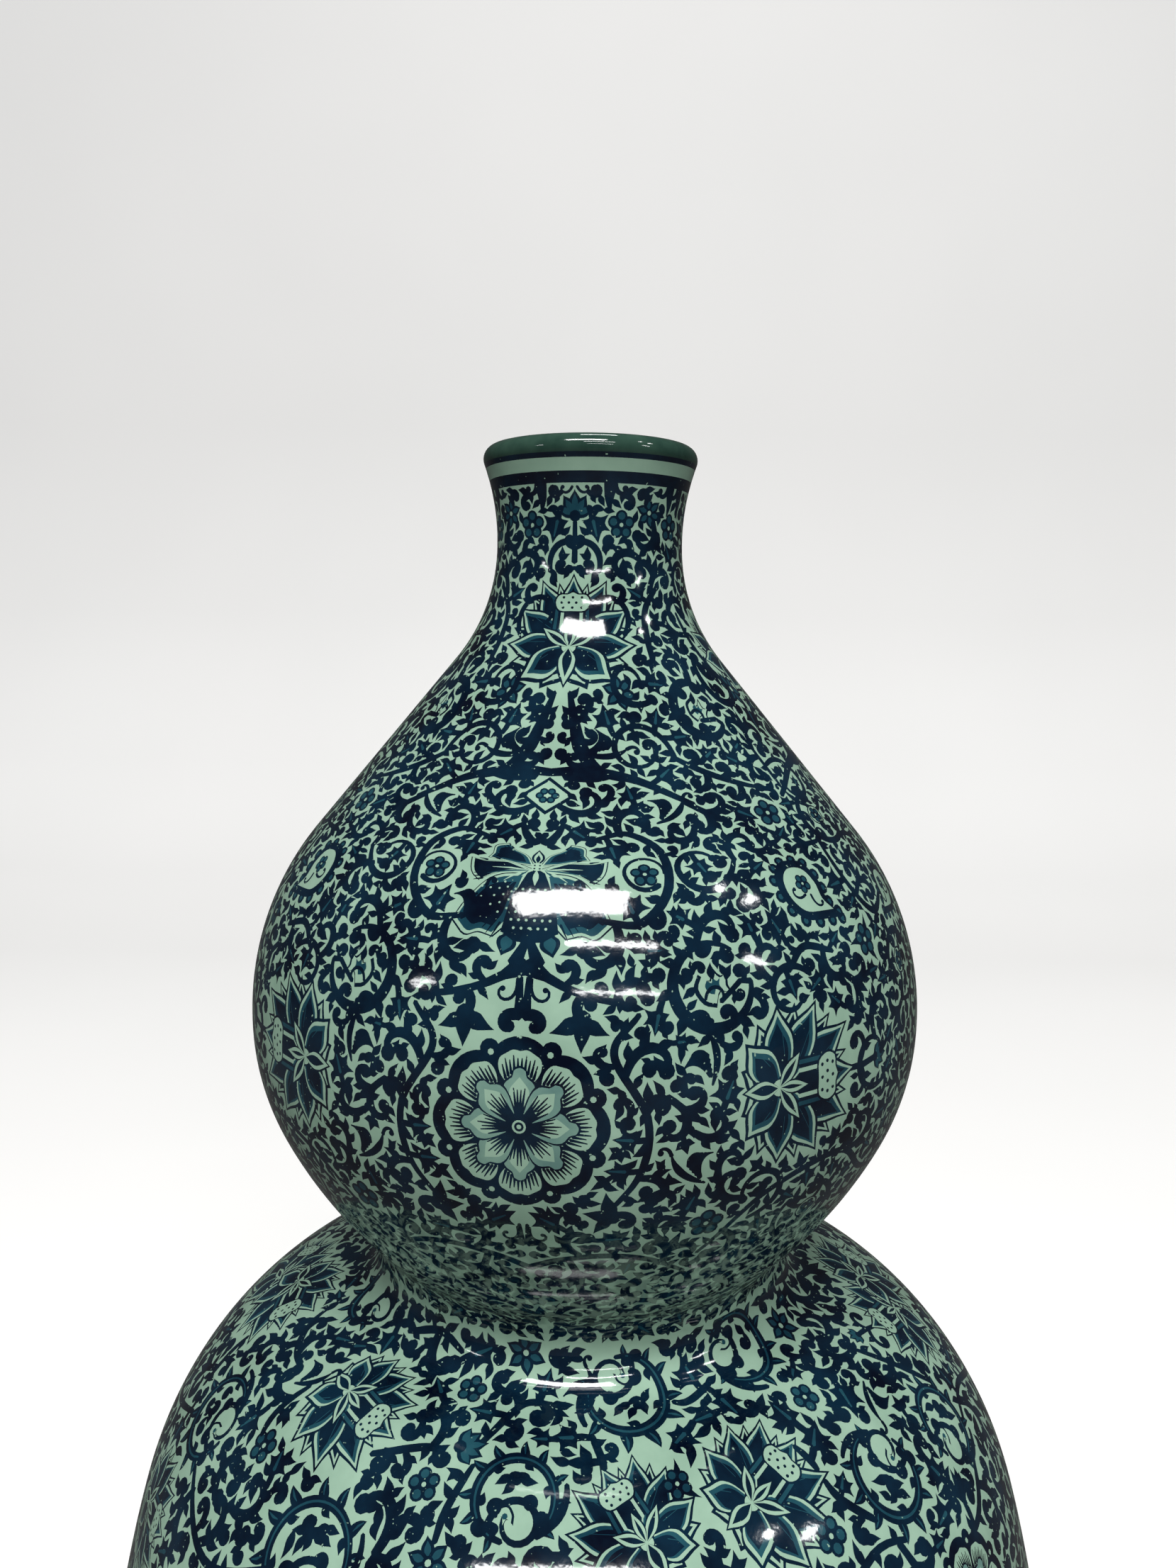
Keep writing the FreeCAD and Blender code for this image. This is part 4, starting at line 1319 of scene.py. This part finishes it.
def paintUpper(zone, rng):
    look = upperLook
    zone.band(look["bandTop"], look["rimWash"], "navy")
    zone.band(look["rimWash"], float(outside.z.max()), "rim")
    zone.taken[int((planeHeight(look["bandMid"]) - zone.low) / zone.cell):] = True
    zone.band(look["bandLow"], look["bandMid"], "navy")
    # each row: shapes, angle, height, turn, space kept clear and whether it is mirrored
    # neck: hanging curls under the band, a tulip on the axis, flowers between
    hanging = hook(0, 0, 262, 5.2, 30, (2.6, 1.7, 0.3), 0)
    hanging += hook(0.6, -0.2, 290, 3.6, 170, (1.2, 0.9, 0.5), 0.6)
    tendrils = bothSides(hook(0.4, 0, 300, 3.2, 200, (0.5, 0.5, 0.4), 0.35))
    bloom = tulip(4.3) + stroke([(0, -1), (0, -8)], (0.8, 1.1))
    bloom += bothSides(hook(0.3, -5.4, 20, 3.2, 200, (1.0, 0.8, 0.5), 0.5))
    rows = [(hanging, 20, 344.2), (hanging, 60, 344.2, 0, 0, True), (hanging, 70, 344.2, 0, 0, True),
            (tendrils, 0, 343.6), (tendrils, 90, 343.6), (bloom, 0, 338.6), (bloom, 90, 338.6),
            (fiveFlower(2.5), 27, 337.2), (fiveFlower(2.5), 63, 337.2), (starFlower(3.0), 45, 339.5)]
    # shoulder: the upright lotus and what grows from it
    rows += [(lotus(15.4), 0, 315.9, 0, 0.3), (lotus(13.0), 90, 313.5, 0, 0.3)]
    legs = stem([(1.4, 2.5), (2.5, -2), (3.6, -6.4), (5.8, -10.0), (9.2, -11.6)],
                (0.9, 1.6, 2.2, 1.7, 0.9), 5)
    legs += hook(2.4, -2.2, 10, 4.0, 190, (1.4, 1.1, 0.6), 0.8) + blade(4.2, -8.4, 35, 3.2, 1.4, 24)
    legs += hook(3.2, -5.2, 330, 4.2, 200, (1.3, 1.1, 0.6), 0.8)
    legs += hook(4.4, -9.4, 192, 3.8, -190, (1.2, 1.0, 0.6), 0.7)
    legs += hook(2.5, -2.8, 222, 2.6, -215, (0.7, 0.8, 0.6), 0.6)
    side = hook(2.5, -1.0, 350, 9.0, 40, (2.4, 2.0, 0.6), 0)
    arch = stem([(0, 0), (6, 0.4), (14, -1.6), (22, -6.5)], (1.6, 2.0, 1.6, 1.0))
    diamond = []
    for width, height, ink in ((4.5, 3.9, "navy"), (3.6, 3.1, "pale")):
        corners = [(0, height), (-width, 0), (0, -height), (width, 0)]
        diamond.append((curve(corners, sharp=(0, 1, 2, 3), perSpan=3), ink))
    for size, count, ink in ((0.72, 9, "navy"), (0.40, 8, "teal")):
        for k in np.arange(6) * math.pi / 3:
            diamond += dot(1.25 * math.cos(k), 1.0 * math.sin(k), size, count, ink)
    for angle in (0, 90):
        rows += [(bothSides(legs), angle, 306.0), (bothSides(side), angle, 296.5),
                 (bothSides(arch), angle, 296.0), (diamond, angle, 292.6)]
    comb = featherComb(5.0)
    rows += [(comb, 12.5, 301.2, -28, 0.2), (comb, 77.5, 301.2, 28, 0.2, True), (comb, 24, 291.5, 10, 0.2),
             (comb, 66, 291.5, -10, 0.2, True), (starFlower(3.2), 19, 308.5), (starFlower(3.2), 71, 308.5),
             (tulipScroll(4.8), 45, 305.5, -20)]
    # belly top: butterfly on the axis with stems that cross above it and sweep round it, paisleys beside it
    arms = stem([(-0.8, 8.6), (1.0, 6.6), (2.6, 8.4), (3.6, 11.0)], (1.2, 1.7, 1.5, 1.0), 5)
    arms += stem([(9.4, 7.6), (14.6, 8.8), (19.6, 4.6), (20.0, -3.0), (15.4, -8.4), (9.6, -8.0)],
                 (0.9, 1.3, 1.6, 1.5, 1.3, 0.8), 5)
    arms += blade(1.4, 5.4, 74, 4.2, 1.6, -20) + hook(17.8, -6.4, 300, 4.0, -190, (1.2, 1.2, 0.8), 0.9)
    ringed = fiveFlower(2.3) + stroke(spiral(3.1, 0, 90, 17.5, 318, 0, 22), (0.5, 0.6, 0.9))
    rows += [(butterfly(8.3), 0, 282.2, 0, 0.25), (starFlower(5.2), 90, 285.5, 0, 0.25),
             (bothSides(arms), 0, 282.2), (featherComb(4.4), 11.6, 278.4, -30, 0.15, True),
             (ringed, 18.6, 281.8, 0, 0.2), (ringScroll(6.2), 68, 287.0, 160, 0, True),
             (paisley(6.6), 49, 277.5, 25, 0.25), (fiveFlower(3.0), 50, 289.0, 0, 0.2),
             (paisley(5.6), 77, 273.5, -35, 0.25, True)]
    # belly middle: the forked stem, curl pairs, and the rosette
    fork = stroke([(0.2, 5.8), (0.6, 3.4), (1.8, 0.5)], (0.5, 1.4, 2.3))
    fork += stroke([(0, 0.2), (2.0, -0.5), (3.6, -1.4)], (2.6, 2.3, 1.3))
    fork += stroke([(0.62, -1.4), (0.55, -6.2)], (0.8, 1.4))
    fork += blade(0.9, 4.0, 28, 3.6, 1.3, -24) + hook(1.0, -1.6, 270, 6.4, 262, (0.6, 0.5, 0.42), 0.42, 0.9)
    fork += hook(0.3, -6.7, 8, 4.6, -200, (1.7, 1.6, 0.9), 0.9) + blade(0.2, -6.4, 336, 2.4, 1.5, -20)
    leafArm = hook(0, 0, 118, 5.8, -215, (1.5, 1.6, 1.0), 1.0) + blade(0, 0.4, 215, 5.0, 2.6, -24)
    leafArm += blade(0.3, 0.2, 262, 4.6, 2.4, 10) + blade(0.4, 0.2, 318, 4.2, 2.2, 28) + dot(0, 0.2, 1.5)
    sweep = stem([(3.0, -1.1), (6.6, -2.9), (10.4, -4.1), (14.2, -4.9)], (1.5, 1.2, 1.1, 1.0))
    curls = hook(0.8, 1.6, 268, 6.0, 255, (0.75, 0.6, 0.45), 0.4, 0.9)
    curls += hook(0.6, -2.3, 20, 3.6, -170, (1.4, 1.2, 0.6), 0.8)
    curls += stroke([(0.6, 2.2), (0.5, -2.6)], (0.6, 1.2))
    rows += [(bothSides(fork + moved(leafArm, x=8.4, y=-7.4)), 0, 269.2, 0, 0.55),
             (bothSides(sweep), 0, 269.2), (bothSides(curls), 0, 227.5, 0, 0.4),
             (moved(leafArm, turn=-100), 12.5, 231.5, 0, 0.3), (rosette(13.9), 0, 246.5, 0, 0.45),
             (rosette(9.6), 90, 247.5, 0, 0.5), (tulipScroll(6.4), 27, 266.5, 15),
             (stalkedLotus(16.0), 36.3, 250.2, -90, 0.3), (featherComb(5.4), 23.5, 256.0, 60, 0.15),
             (featherComb(5.4), 24.5, 241.0, -10, 0.15, True), (fiveFlower(2.8, True), 59.5, 268.5, 0, 0.2),
             (ringScroll(6.0), 71.0, 262.0, -60), (tulipScroll(6.0), 71.0, 237.5, 150),
             (fiveFlower(2.9), 27, 228.5, 0, 0.2)]
    # underside: arches that meet on the axis, ring scrolls and flowers
    lowArch = stem([(0, 0), (5, 2.6), (12, 3.8), (19, 2.0), (25, -2.4)], (1.6, 1.3, 1.3, 0.8))
    rows += [(bothSides(lowArch), 0, 219.8), (tulipScroll(5.2), 22, 214.0, 66, 0.2),
             (tulipScroll(5.4), 68, 216.0, 204, 0.2), (ringScroll(6.0), 46, 225.5, 200),
             (starFlower(4.0), 0, 211.5, 0, 0.2), (fleur(rng), 90, 224.0, 0, 0.2),
             (starFlower(3.6), 90, 212.0, 0, 0.2)]
    for row in rows:
        zone.put(*row)
    for stops in (
            [(11.0, 231), (16.2, 239), (17.0, 248), (12.5, 257.5), (16, 263)],
            [(58, 300), (61, 289), (61, 279), (66, 272), (74, 274)],
            [(83, 262), (85, 278), (80, 293), (85, 305)],
            [(27, 222), (36, 232.5), (50, 236), (60, 229), (76, 226), (90, 231)],
            [(60, 322), (66, 312), (78, 300)], [(50, 327), (38, 322), (35, 313)],
            [(50, 268.5), (44, 270), (40, 267)]):
        vine(zone, stops, rng)
    for angle, height, heading, length, bend in (
            (31, 298, 100, 26, 330), (36, 283, 250, 24, -320), (25, 318, 60, 19, 300),
            (29, 307, 200, 17, -310), (60, 296, 20, 22, -300), (14, 329, 80, 15, 290),
            (66, 326, 100, 15, -290), (57, 314, 240, 17, 310), (44, 266, 140, 18, 290),
            (83, 300, 260, 20, 300), (34, 228, 20, 20, 290), (60, 246, 200, 22, -290),
            (84, 262, 100, 20, 290)):
        curl = spiral(0, 0, heading, length, bend, 0.35, 24)
        zone.put(stroke(curl, (0.9, 1.25, 1.2, 1.0, 0.6)) + dot(*curl[-1], 0.85, 9), angle, height)
    for angle, height in ((0, 204.5),) * 4 + ((90, 204.5), (90, 232.5), (90, 266.0), (90, 275.0)):
        zone.put(fleur(rng), angle, height, 0, 0, False, 0.8)


# Lower zone: a half turn from the left of the view, which repeats behind.
lowerLook = {
    # heights of the bands at the foot, leaves in a half turn and the space kept clear round a motif
    "thinLineLow": 4.0, "thinLineHigh": 6.0, "footBandLow": 11.0, "footBandHigh": 13.2,
    "footLine": 15.2, "footLineTop": 16.0, "uprightLeaves": 18, "clear": 0.45,
}


def paintLower(zone, rng):
    look = lowerLook
    zone.band(0, look["footBandHigh"], "pale")
    zone.band(look["thinLineLow"], look["thinLineHigh"], "navy")
    zone.band(look["footBandLow"], look["footBandHigh"], "navy")
    zone.band(look["footLine"], look["footLineTop"], "navy")
    leaf = petals(("navy", 9.0, 3.6, 3.0, 0.2), ("pale", 7.8, 2.9, 2.4, 0.2), ("navy", 6.2, 1.9, 1.4, 0.2),
                  ("teal", 3.6, 0.8, 0.5, 0.2, 0.8))
    for k in range(look["uprightLeaves"]):
        zone.put(leaf, k * 180 / look["uprightLeaves"], look["footLineTop"] + 0.8)
    # shapes, angle, height and turn: first the shoulder, as it shows from above
    heroes = [
        (lotus(13.8), -46.5, 187.0, -100), (lotus(13.6), 9.0, 181.4, 28), (lotus(14.8), 25.0, 182.6, -66),
        (stalkedLotus(14.5), 86, 183.0, 64), (lotus(14.5), -88, 186.0, -100), (wreath(7.0), -9.5, 184.6, 0),
        (wreath(7.2), 10.0, 190.4, 200), (wreath(8.6), -35.2, 174.6, 20), (wreath(7.4), 48, 179.0, 120),
        (wreath(6.4), -66, 192.0, 60), (wreath(6.6), 41, 191.8, 250), (wreath(7.2), 66, 176.0, 300),
        (wreath(7.8), -66, 176.0, 90), (fiveFlower(2.6), -24, 189.8, 0), (fiveFlower(2.7), -23.5, 184.0, 20),
        (fiveFlower(2.4, True), 15, 185.2, 20), (fiveFlower(2.7), 45, 187.2, 20),
        (starFlower(3.8), -13.5, 195.2, 0), (starFlower(3.9), 58, 190.6, 30),
        (moved(tulip(4.6), turn=-70), -20.5, 187.0, 0), (featherComb(5.0), -1.5, 191.0, 60),
        (featherComb(5.4), 58, 183.0, 200), (featherComb(5.0), -57, 186.5, 20),
        (fiveFlower(2.9), -52, 179.5, 10), (starFlower(3.8), -19, 178.4, 10),
        (fiveFlower(2.9), 34, 177.5, 40),
    ]
    # the side and the bowl below, guessed in the same manner: two motifs by turns, their turns and places
    for motifs, turns, places in (
            ((lotus(13.4), rosette(12.4)), (-78, 0, 70, 0), ((-70, 158), (-28, 160), (14, 160), (52, 158))),
            ((tulipScroll(9.0), wreath(9.0)), (0, 70, 140, 210),
             ((-49, 141), (-7, 140), (34, 141), (74, 140))),
            ((rosette(12.8), lotus(14.2)), (0, -66, 0, 62), ((-76, 118), (-31, 118), (14, 118), (59, 118))),
            ((wreath(9.0), tulipScroll(9.4)), (30, 120, 210, 300), ((-53, 97), (-8, 96), (37, 97), (82, 96))),
            ((lotus(14.0), rosette(12.4)), (-70, 0, 72, 0), ((-75, 76), (-30, 76), (15, 76), (60, 76))),
            ((ringScroll(8.4), paisley(8.2)), (0, 60, 120, 180), ((-52, 55), (-7, 55), (38, 55), (83, 55))),
            ((lotus(10.4),) * 2, (0, 180, 0, 180), ((-74, 38), (-30, 38), (16, 38), (60, 38))),
            ((fiveFlower(3.1, True),) * 2, range(0, 210, 30),
             ((-53, 121), (-8, 121), (37, 121), (81, 121), (-52, 160), (30, 163), (-90, 139)))):
        heroes += [(motifs[k % 2], *place, turn) for k, (place, turn) in enumerate(zip(places, turns))]
    for hero in heroes:
        zone.put(*hero, look["clear"])
    # stems between them, from which the leaves grow
    vines = [
        [(-34, 184.5), (-27, 186.2), (-23, 186.6)], [(-17, 187.6), (-12, 189.6), (-6, 189.8)],
        [(-17, 186.4), (-19, 182), (-18, 176), (-14, 170)], [(2, 188.6), (4, 186.6), (3, 184.4)],
        [(17, 190), (22, 189.4), (30, 190)], [(33, 187.6), (37, 184), (38, 180), (43, 175)],
        [(-52, 188), (-55, 182), (-50, 176)], [(64, 187), (70, 181), (74, 175)],
        [(-2, 178), (4, 175), (12, 176), (20, 173)], [(-75, 190), (-78, 182), (-76, 174)],
        [(-30, 193), (-38, 194.5), (-48, 192)], [(20, 195.5), (5, 194.5), (-4, 195.5)],
        [(66, 195), (80, 193), (96, 195)]]
    for height, swing, count, start in ((170, 4, 5, 22), (149, 5, 4, 0), (130, 5, 4, 20), (107, 5, 4, 2),
                                        (86, 5, 4, 24), (65, 5, 4, 0), (46, 4, 4, 20)):
        vines.append([(start - 90 + k * 180 / count / 2, height + swing * (-1)**k)
                      for k in range(2 * count + 1)])
    for stops in vines:
        vine(zone, stops, rng)


waistV = planeHeight(solved.waistZ + form.joint / 2)
splitV = planeHeight(form.lowerHeight)
crownV = planeScale * outside.v[-1]
rng = random.Random(fillerLook["seed"])
# the last three: angle of the zone's start, size of its leaves and the free edge round them
quarter = math.pi / 2 * planeScale
upperZone = PaintZone("upper bulb and neck", quarter, waistV, crownV, False, 0, 1.0, 0.42)
lowerZone = PaintZone("lower bulb", quarter * 2, 0.0, waistV, True, 90, 1.28, 0.55)
for zone, paintZone in ((upperZone, paintUpper), (lowerZone, paintLower)):
    paintZone(zone, rng)
    growLeaves(zone, growSets, rng)
    fillGround(zone, rng)
    growLeaves(zone, lastGrowth, rng)
print("shapes", len(upperZone.shapes), len(lowerZone.shapes), round(time.time() - startTime), "s", flush=True)

# the skin has more rows where the lip turns over
lipReach = solved.rimRound * math.radians(90 + solved.flareTurn)
lipRows = planeScale * outside.v[outside.s > outside.s[-1] - lipReach][:-1]
upperCut, lowerCut = cutPlane(upperZone, lipRows.tolist()), cutPlane(lowerZone, [splitV])
print("cut", round(time.time() - startTime), "s", flush=True)
upperSkin = wrapCopies(upperCut, math.radians(upperLook["axis"]),
                       ((0, False), (0, True), (180, False), (180, True)))
lowerSkin = wrapCopies(lowerCut, math.radians(-90), ((0, False), (180, False)))
for name, wrapped, low, high in (("upper_bulb_painted_glaze", upperSkin, waistV - 1, crownV + 1),
                                 ("lower_shoulder_painted_glaze", lowerSkin, splitV, waistV + 1),
                                 ("lower_bowl_painted_glaze", lowerSkin, -1, splitV)):
    skin = buildSkin(name, wrapped, low, high)
    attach(skin, "root")
    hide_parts("outer_glaze")


# Turned pieces without painting, and the bare clay
turnedLook = {
    "liningSteps": 180, "footSteps": 240,       # steps round the axis
    "liningEvery": 8, "liningFineFrom": 330,    # one row of the outline in so many, every one above this
    "grooves": 0.06, "grooveStep": 0.55, "edgeSteps": 5,
    "baseRadii": (0.01, 10, 20, 30, 38, 41.5, 43),
}
clayLook = {
    "dark": (0.42, 0.30, 0.19), "light": (0.66, 0.53, 0.38), "speck": (0.20, 0.12, 0.07),
    "toneScale": 160, "speckScale": 1300, "grainScale": 900, "grain": 0.00008, "roughness": 0.85,
}


def turnedPiece(name, path, material, node, steps):
    angles = np.arange(steps) / steps * 2 * math.pi
    spots = [(r * math.sin(a) * mm, -r * math.cos(a) * mm, z * mm) for r, z in path for a in angles]
    faces = [(i + steps + k, i + steps + (k + 1) % steps, i + (k + 1) % steps, i + k)
             for i in range(0, (len(path) - 1) * steps, steps) for k in range(steps)]
    piece = makePiece(name, spots, faces, [material])
    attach(piece, "root")
    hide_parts(node)


def clayMaterial(look):
    nodes = newMaterial("fired_clay_bare")
    tone = nodes.ramp(nodes.noise(look["toneScale"], 5.0, 0.6), 0.3, look["dark"], 0.7, look["light"])
    speck = nodes.ramp(nodes.noise(look["speckScale"], 2.0), 0.70, black, 0.78, white)
    tone = nodes.mix(speck, tone, look["speck"])
    grain = nodes.bump(nodes.noise(look["grainScale"], 4.0), look["grain"])
    return nodes.finish({"Base Color": tone, "Roughness": look["roughness"], "Normal": grain})


def footPath(f, look):
    # up the inside, over the grooved foot and up the outside
    inner, edge, steps = f.footRadius - f.footWidth, f.footEdge, look["edgeSteps"]
    top, flat = f.footHeight - f.glaze, f.footWidth - 2 * f.footEdge
    turn = [math.radians(90 / steps * k) for k in range(steps + 1)]
    path = [(inner, top), (inner, top * 0.6), (inner, edge)]
    path += [(inner + edge - edge * math.cos(a), edge - edge * math.sin(a)) for a in turn[1:]]
    count = int(flat / look["grooveStep"])
    path += [(inner + edge + flat * k / count, look["grooves"] if k % 2 else 0.0) for k in range(1, count)]
    path += [(f.footRadius - edge + edge * math.sin(a), edge - edge * math.cos(a)) for a in turn]
    return path + [(f.footRadius, f.bareHeight), (f.footRadius, f.footHeight)]


clay = clayMaterial(clayLook)
liningPath = [(r, z) for k, (r, z) in enumerate(zip(inside.r, inside.z))
              if k % turnedLook["liningEvery"] == 0 or z > turnedLook["liningFineFrom"]
              or k == len(inside.r) - 1]
basePath = [(r, form.footHeight - form.glaze) for r in turnedLook["baseRadii"]]
ringPath = footPath(form, turnedLook)
fine, steps = turnedLook["liningSteps"], turnedLook["footSteps"]
turnedPiece("mouth_lining_glaze", liningPath, inkMaterials[0], "inner_glaze", fine)
turnedPiece("foot_ring_bare_clay", ringPath, clay, "foot_ring", steps)
turnedPiece("base_disc_glaze", basePath, inkMaterials[0], "base_glaze", steps)

for name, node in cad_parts.items():
    if name not in ("outer_glaze", "inner_glaze", "foot_ring", "base_glaze"):
        for slot in node.material_slots:
            slot.material = clay
print("clay nodes finished")

# Studio: a pale sweep, panels of light and the camera
studioLook = {
    # the floor's second colour is painted shade: nearly black to every ray but the camera's
    "floorColor": (0.80, 0.79, 0.77), "floorPaintedShade": (0.060, 0.058, 0.056),
    "paperGlow": 0.28, "paperRoughness": 0.9, "paperShade": 0.97, "paperScale": 3.0,
    "sweepWidth": 6.0,          # metres, as are its rows of depth and height
    "sweepRows": ((-1.6, 0.0), (0.9, 0.0), (1.15, 0.03), (1.35, 0.14), (1.45, 0.34), (1.5, 0.6), (1.5, 2.6)),
    "worldColor": (0.90, 0.94, 1.0), "worldStrength": 0.30, "worldInGlaze": 0.055,
    "worldSeen": 0.86, "worldSeenColor": (1.0, 0.99, 0.97),
    # name, place right and back, width and depth in metres, watts; ceiling panels that face down
    "lampHeight": 2.40,
    "lamps": (
        ("wide_panel", -0.20, -1.42, 1.50, 0.50, 70),
        ("second_panel", 0.48, -2.48, 1.65, 0.15, 30),
        ("third_panel", 1.00, -4.98, 2.60, 0.20, 66),
        ("side_panel", 1.75, -0.68, 0.14, 0.14, 3.2),
        ("far_side_panel", 2.43, -0.62, 0.25, 0.25, 6),
        ("right_strip", 4.40, -2.25, 1.30, 0.25, 30),
        ("left_strip", -5.60, -3.80, 1.60, 0.30, 40),
        ("rear_panel", 0.13, 0.74, 0.55, 0.14, 8)),
    # the camera: millimetres and degrees
    "cameraHeight": 319.0, "cameraBack": 227.8, "side": 0.165, "pitch": 7.5, "roll": 0.61,
    "sensor": 36.0, "focalShare": 1661 / 2212,      # the focal length in shares of the sensor's height
}


def makeSweep(look):
    nodes = newMaterial("studio_paper")
    shaded = tuple(c * look["paperShade"] for c in look["floorColor"])
    tone = nodes.ramp(nodes.noise(look["paperScale"], 2.0), 0.3, shaded, 0.7, look["floorColor"])
    seen = nodes.add("LightPath", {})["Is Camera Ray"]
    glow = nodes.add("Math", {0: seen, 1: look["paperGlow"]}, operation="MULTIPLY")[0]
    # painted shade: to every ray but the camera's the paper is nearly black, which darkens the bounce light
    # and reflections on the vase where it faces the floor
    tone = nodes.mix(seen, look["floorPaintedShade"], tone)
    paper = nodes.finish({"Base Color": tone, "Roughness": look["paperRoughness"],
                          "Emission Color": look["floorColor"], "Emission Strength": glow})
    half = look["sweepWidth"] / 2
    spots = [(x, y, z) for y, z in look["sweepRows"] for x in (-half, half)]
    faces = [(2 * k, 2 * k + 1, 2 * k + 3, 2 * k + 2) for k in range(len(look["sweepRows"]) - 1)]
    sweep = makePiece("studio_sweep", spots, faces, [paper])


def makeWorld(look):
    # dim all round, dimmer in the glaze's reflections and nearly white where the camera sees it
    nodes = Nodes(bpy.data.worlds.new("studio_world"), "Background")
    ray = nodes.add("LightPath", {})
    strength = look["worldStrength"]
    for name, wanted in (("Is Glossy Ray", look["worldInGlaze"]), ("Is Camera Ray", look["worldSeen"])):
        strength = nodes.add("Mix", {0: ray[name], 2: strength, 3: wanted})[0]
    color = nodes.mix(ray["Is Camera Ray"], look["worldColor"], look["worldSeenColor"])
    bpy.context.scene.world = nodes.finish({"Color": color, "Strength": strength})


def addLamp(name, x, y, width, depth, power):
    data = bpy.data.lights.new(name, "AREA")
    data.shape, data.size, data.size_y, data.energy = "RECTANGLE", width, depth, power
    lamp = bpy.data.objects.new(name, data)
    lamp.location = x, y, studioLook["lampHeight"]
    lamp.rotation_euler = Vector((0, 0, -1)).to_track_quat("-Z", "Y").to_euler()
    bpy.context.collection.objects.link(lamp)


def addCamera(look):
    data = bpy.data.cameras.new("photo_camera")
    data.sensor_fit, data.sensor_height = "VERTICAL", look["sensor"]
    data.lens, data.clip_start = look["sensor"] * look["focalShare"], 0.01
    camera = bpy.data.objects.new("photo_camera", data)
    camera.location = look["side"] * mm, -look["cameraBack"] * mm, look["cameraHeight"] * mm
    pitch = Matrix.Rotation(math.radians(90 - look["pitch"]), 3, "X")
    roll = Matrix.Rotation(math.radians(look["roll"]), 3, "Z")
    camera.rotation_euler = (pitch @ roll).to_euler()
    bpy.context.collection.objects.link(camera)
    bpy.context.scene.camera = camera


makeSweep(studioLook)
makeWorld(studioLook)
for lamp in studioLook["lamps"]:
    addLamp(*lamp)
addCamera(studioLook)
bpy.context.scene.view_settings.view_transform = "Standard"
print("studio ready")
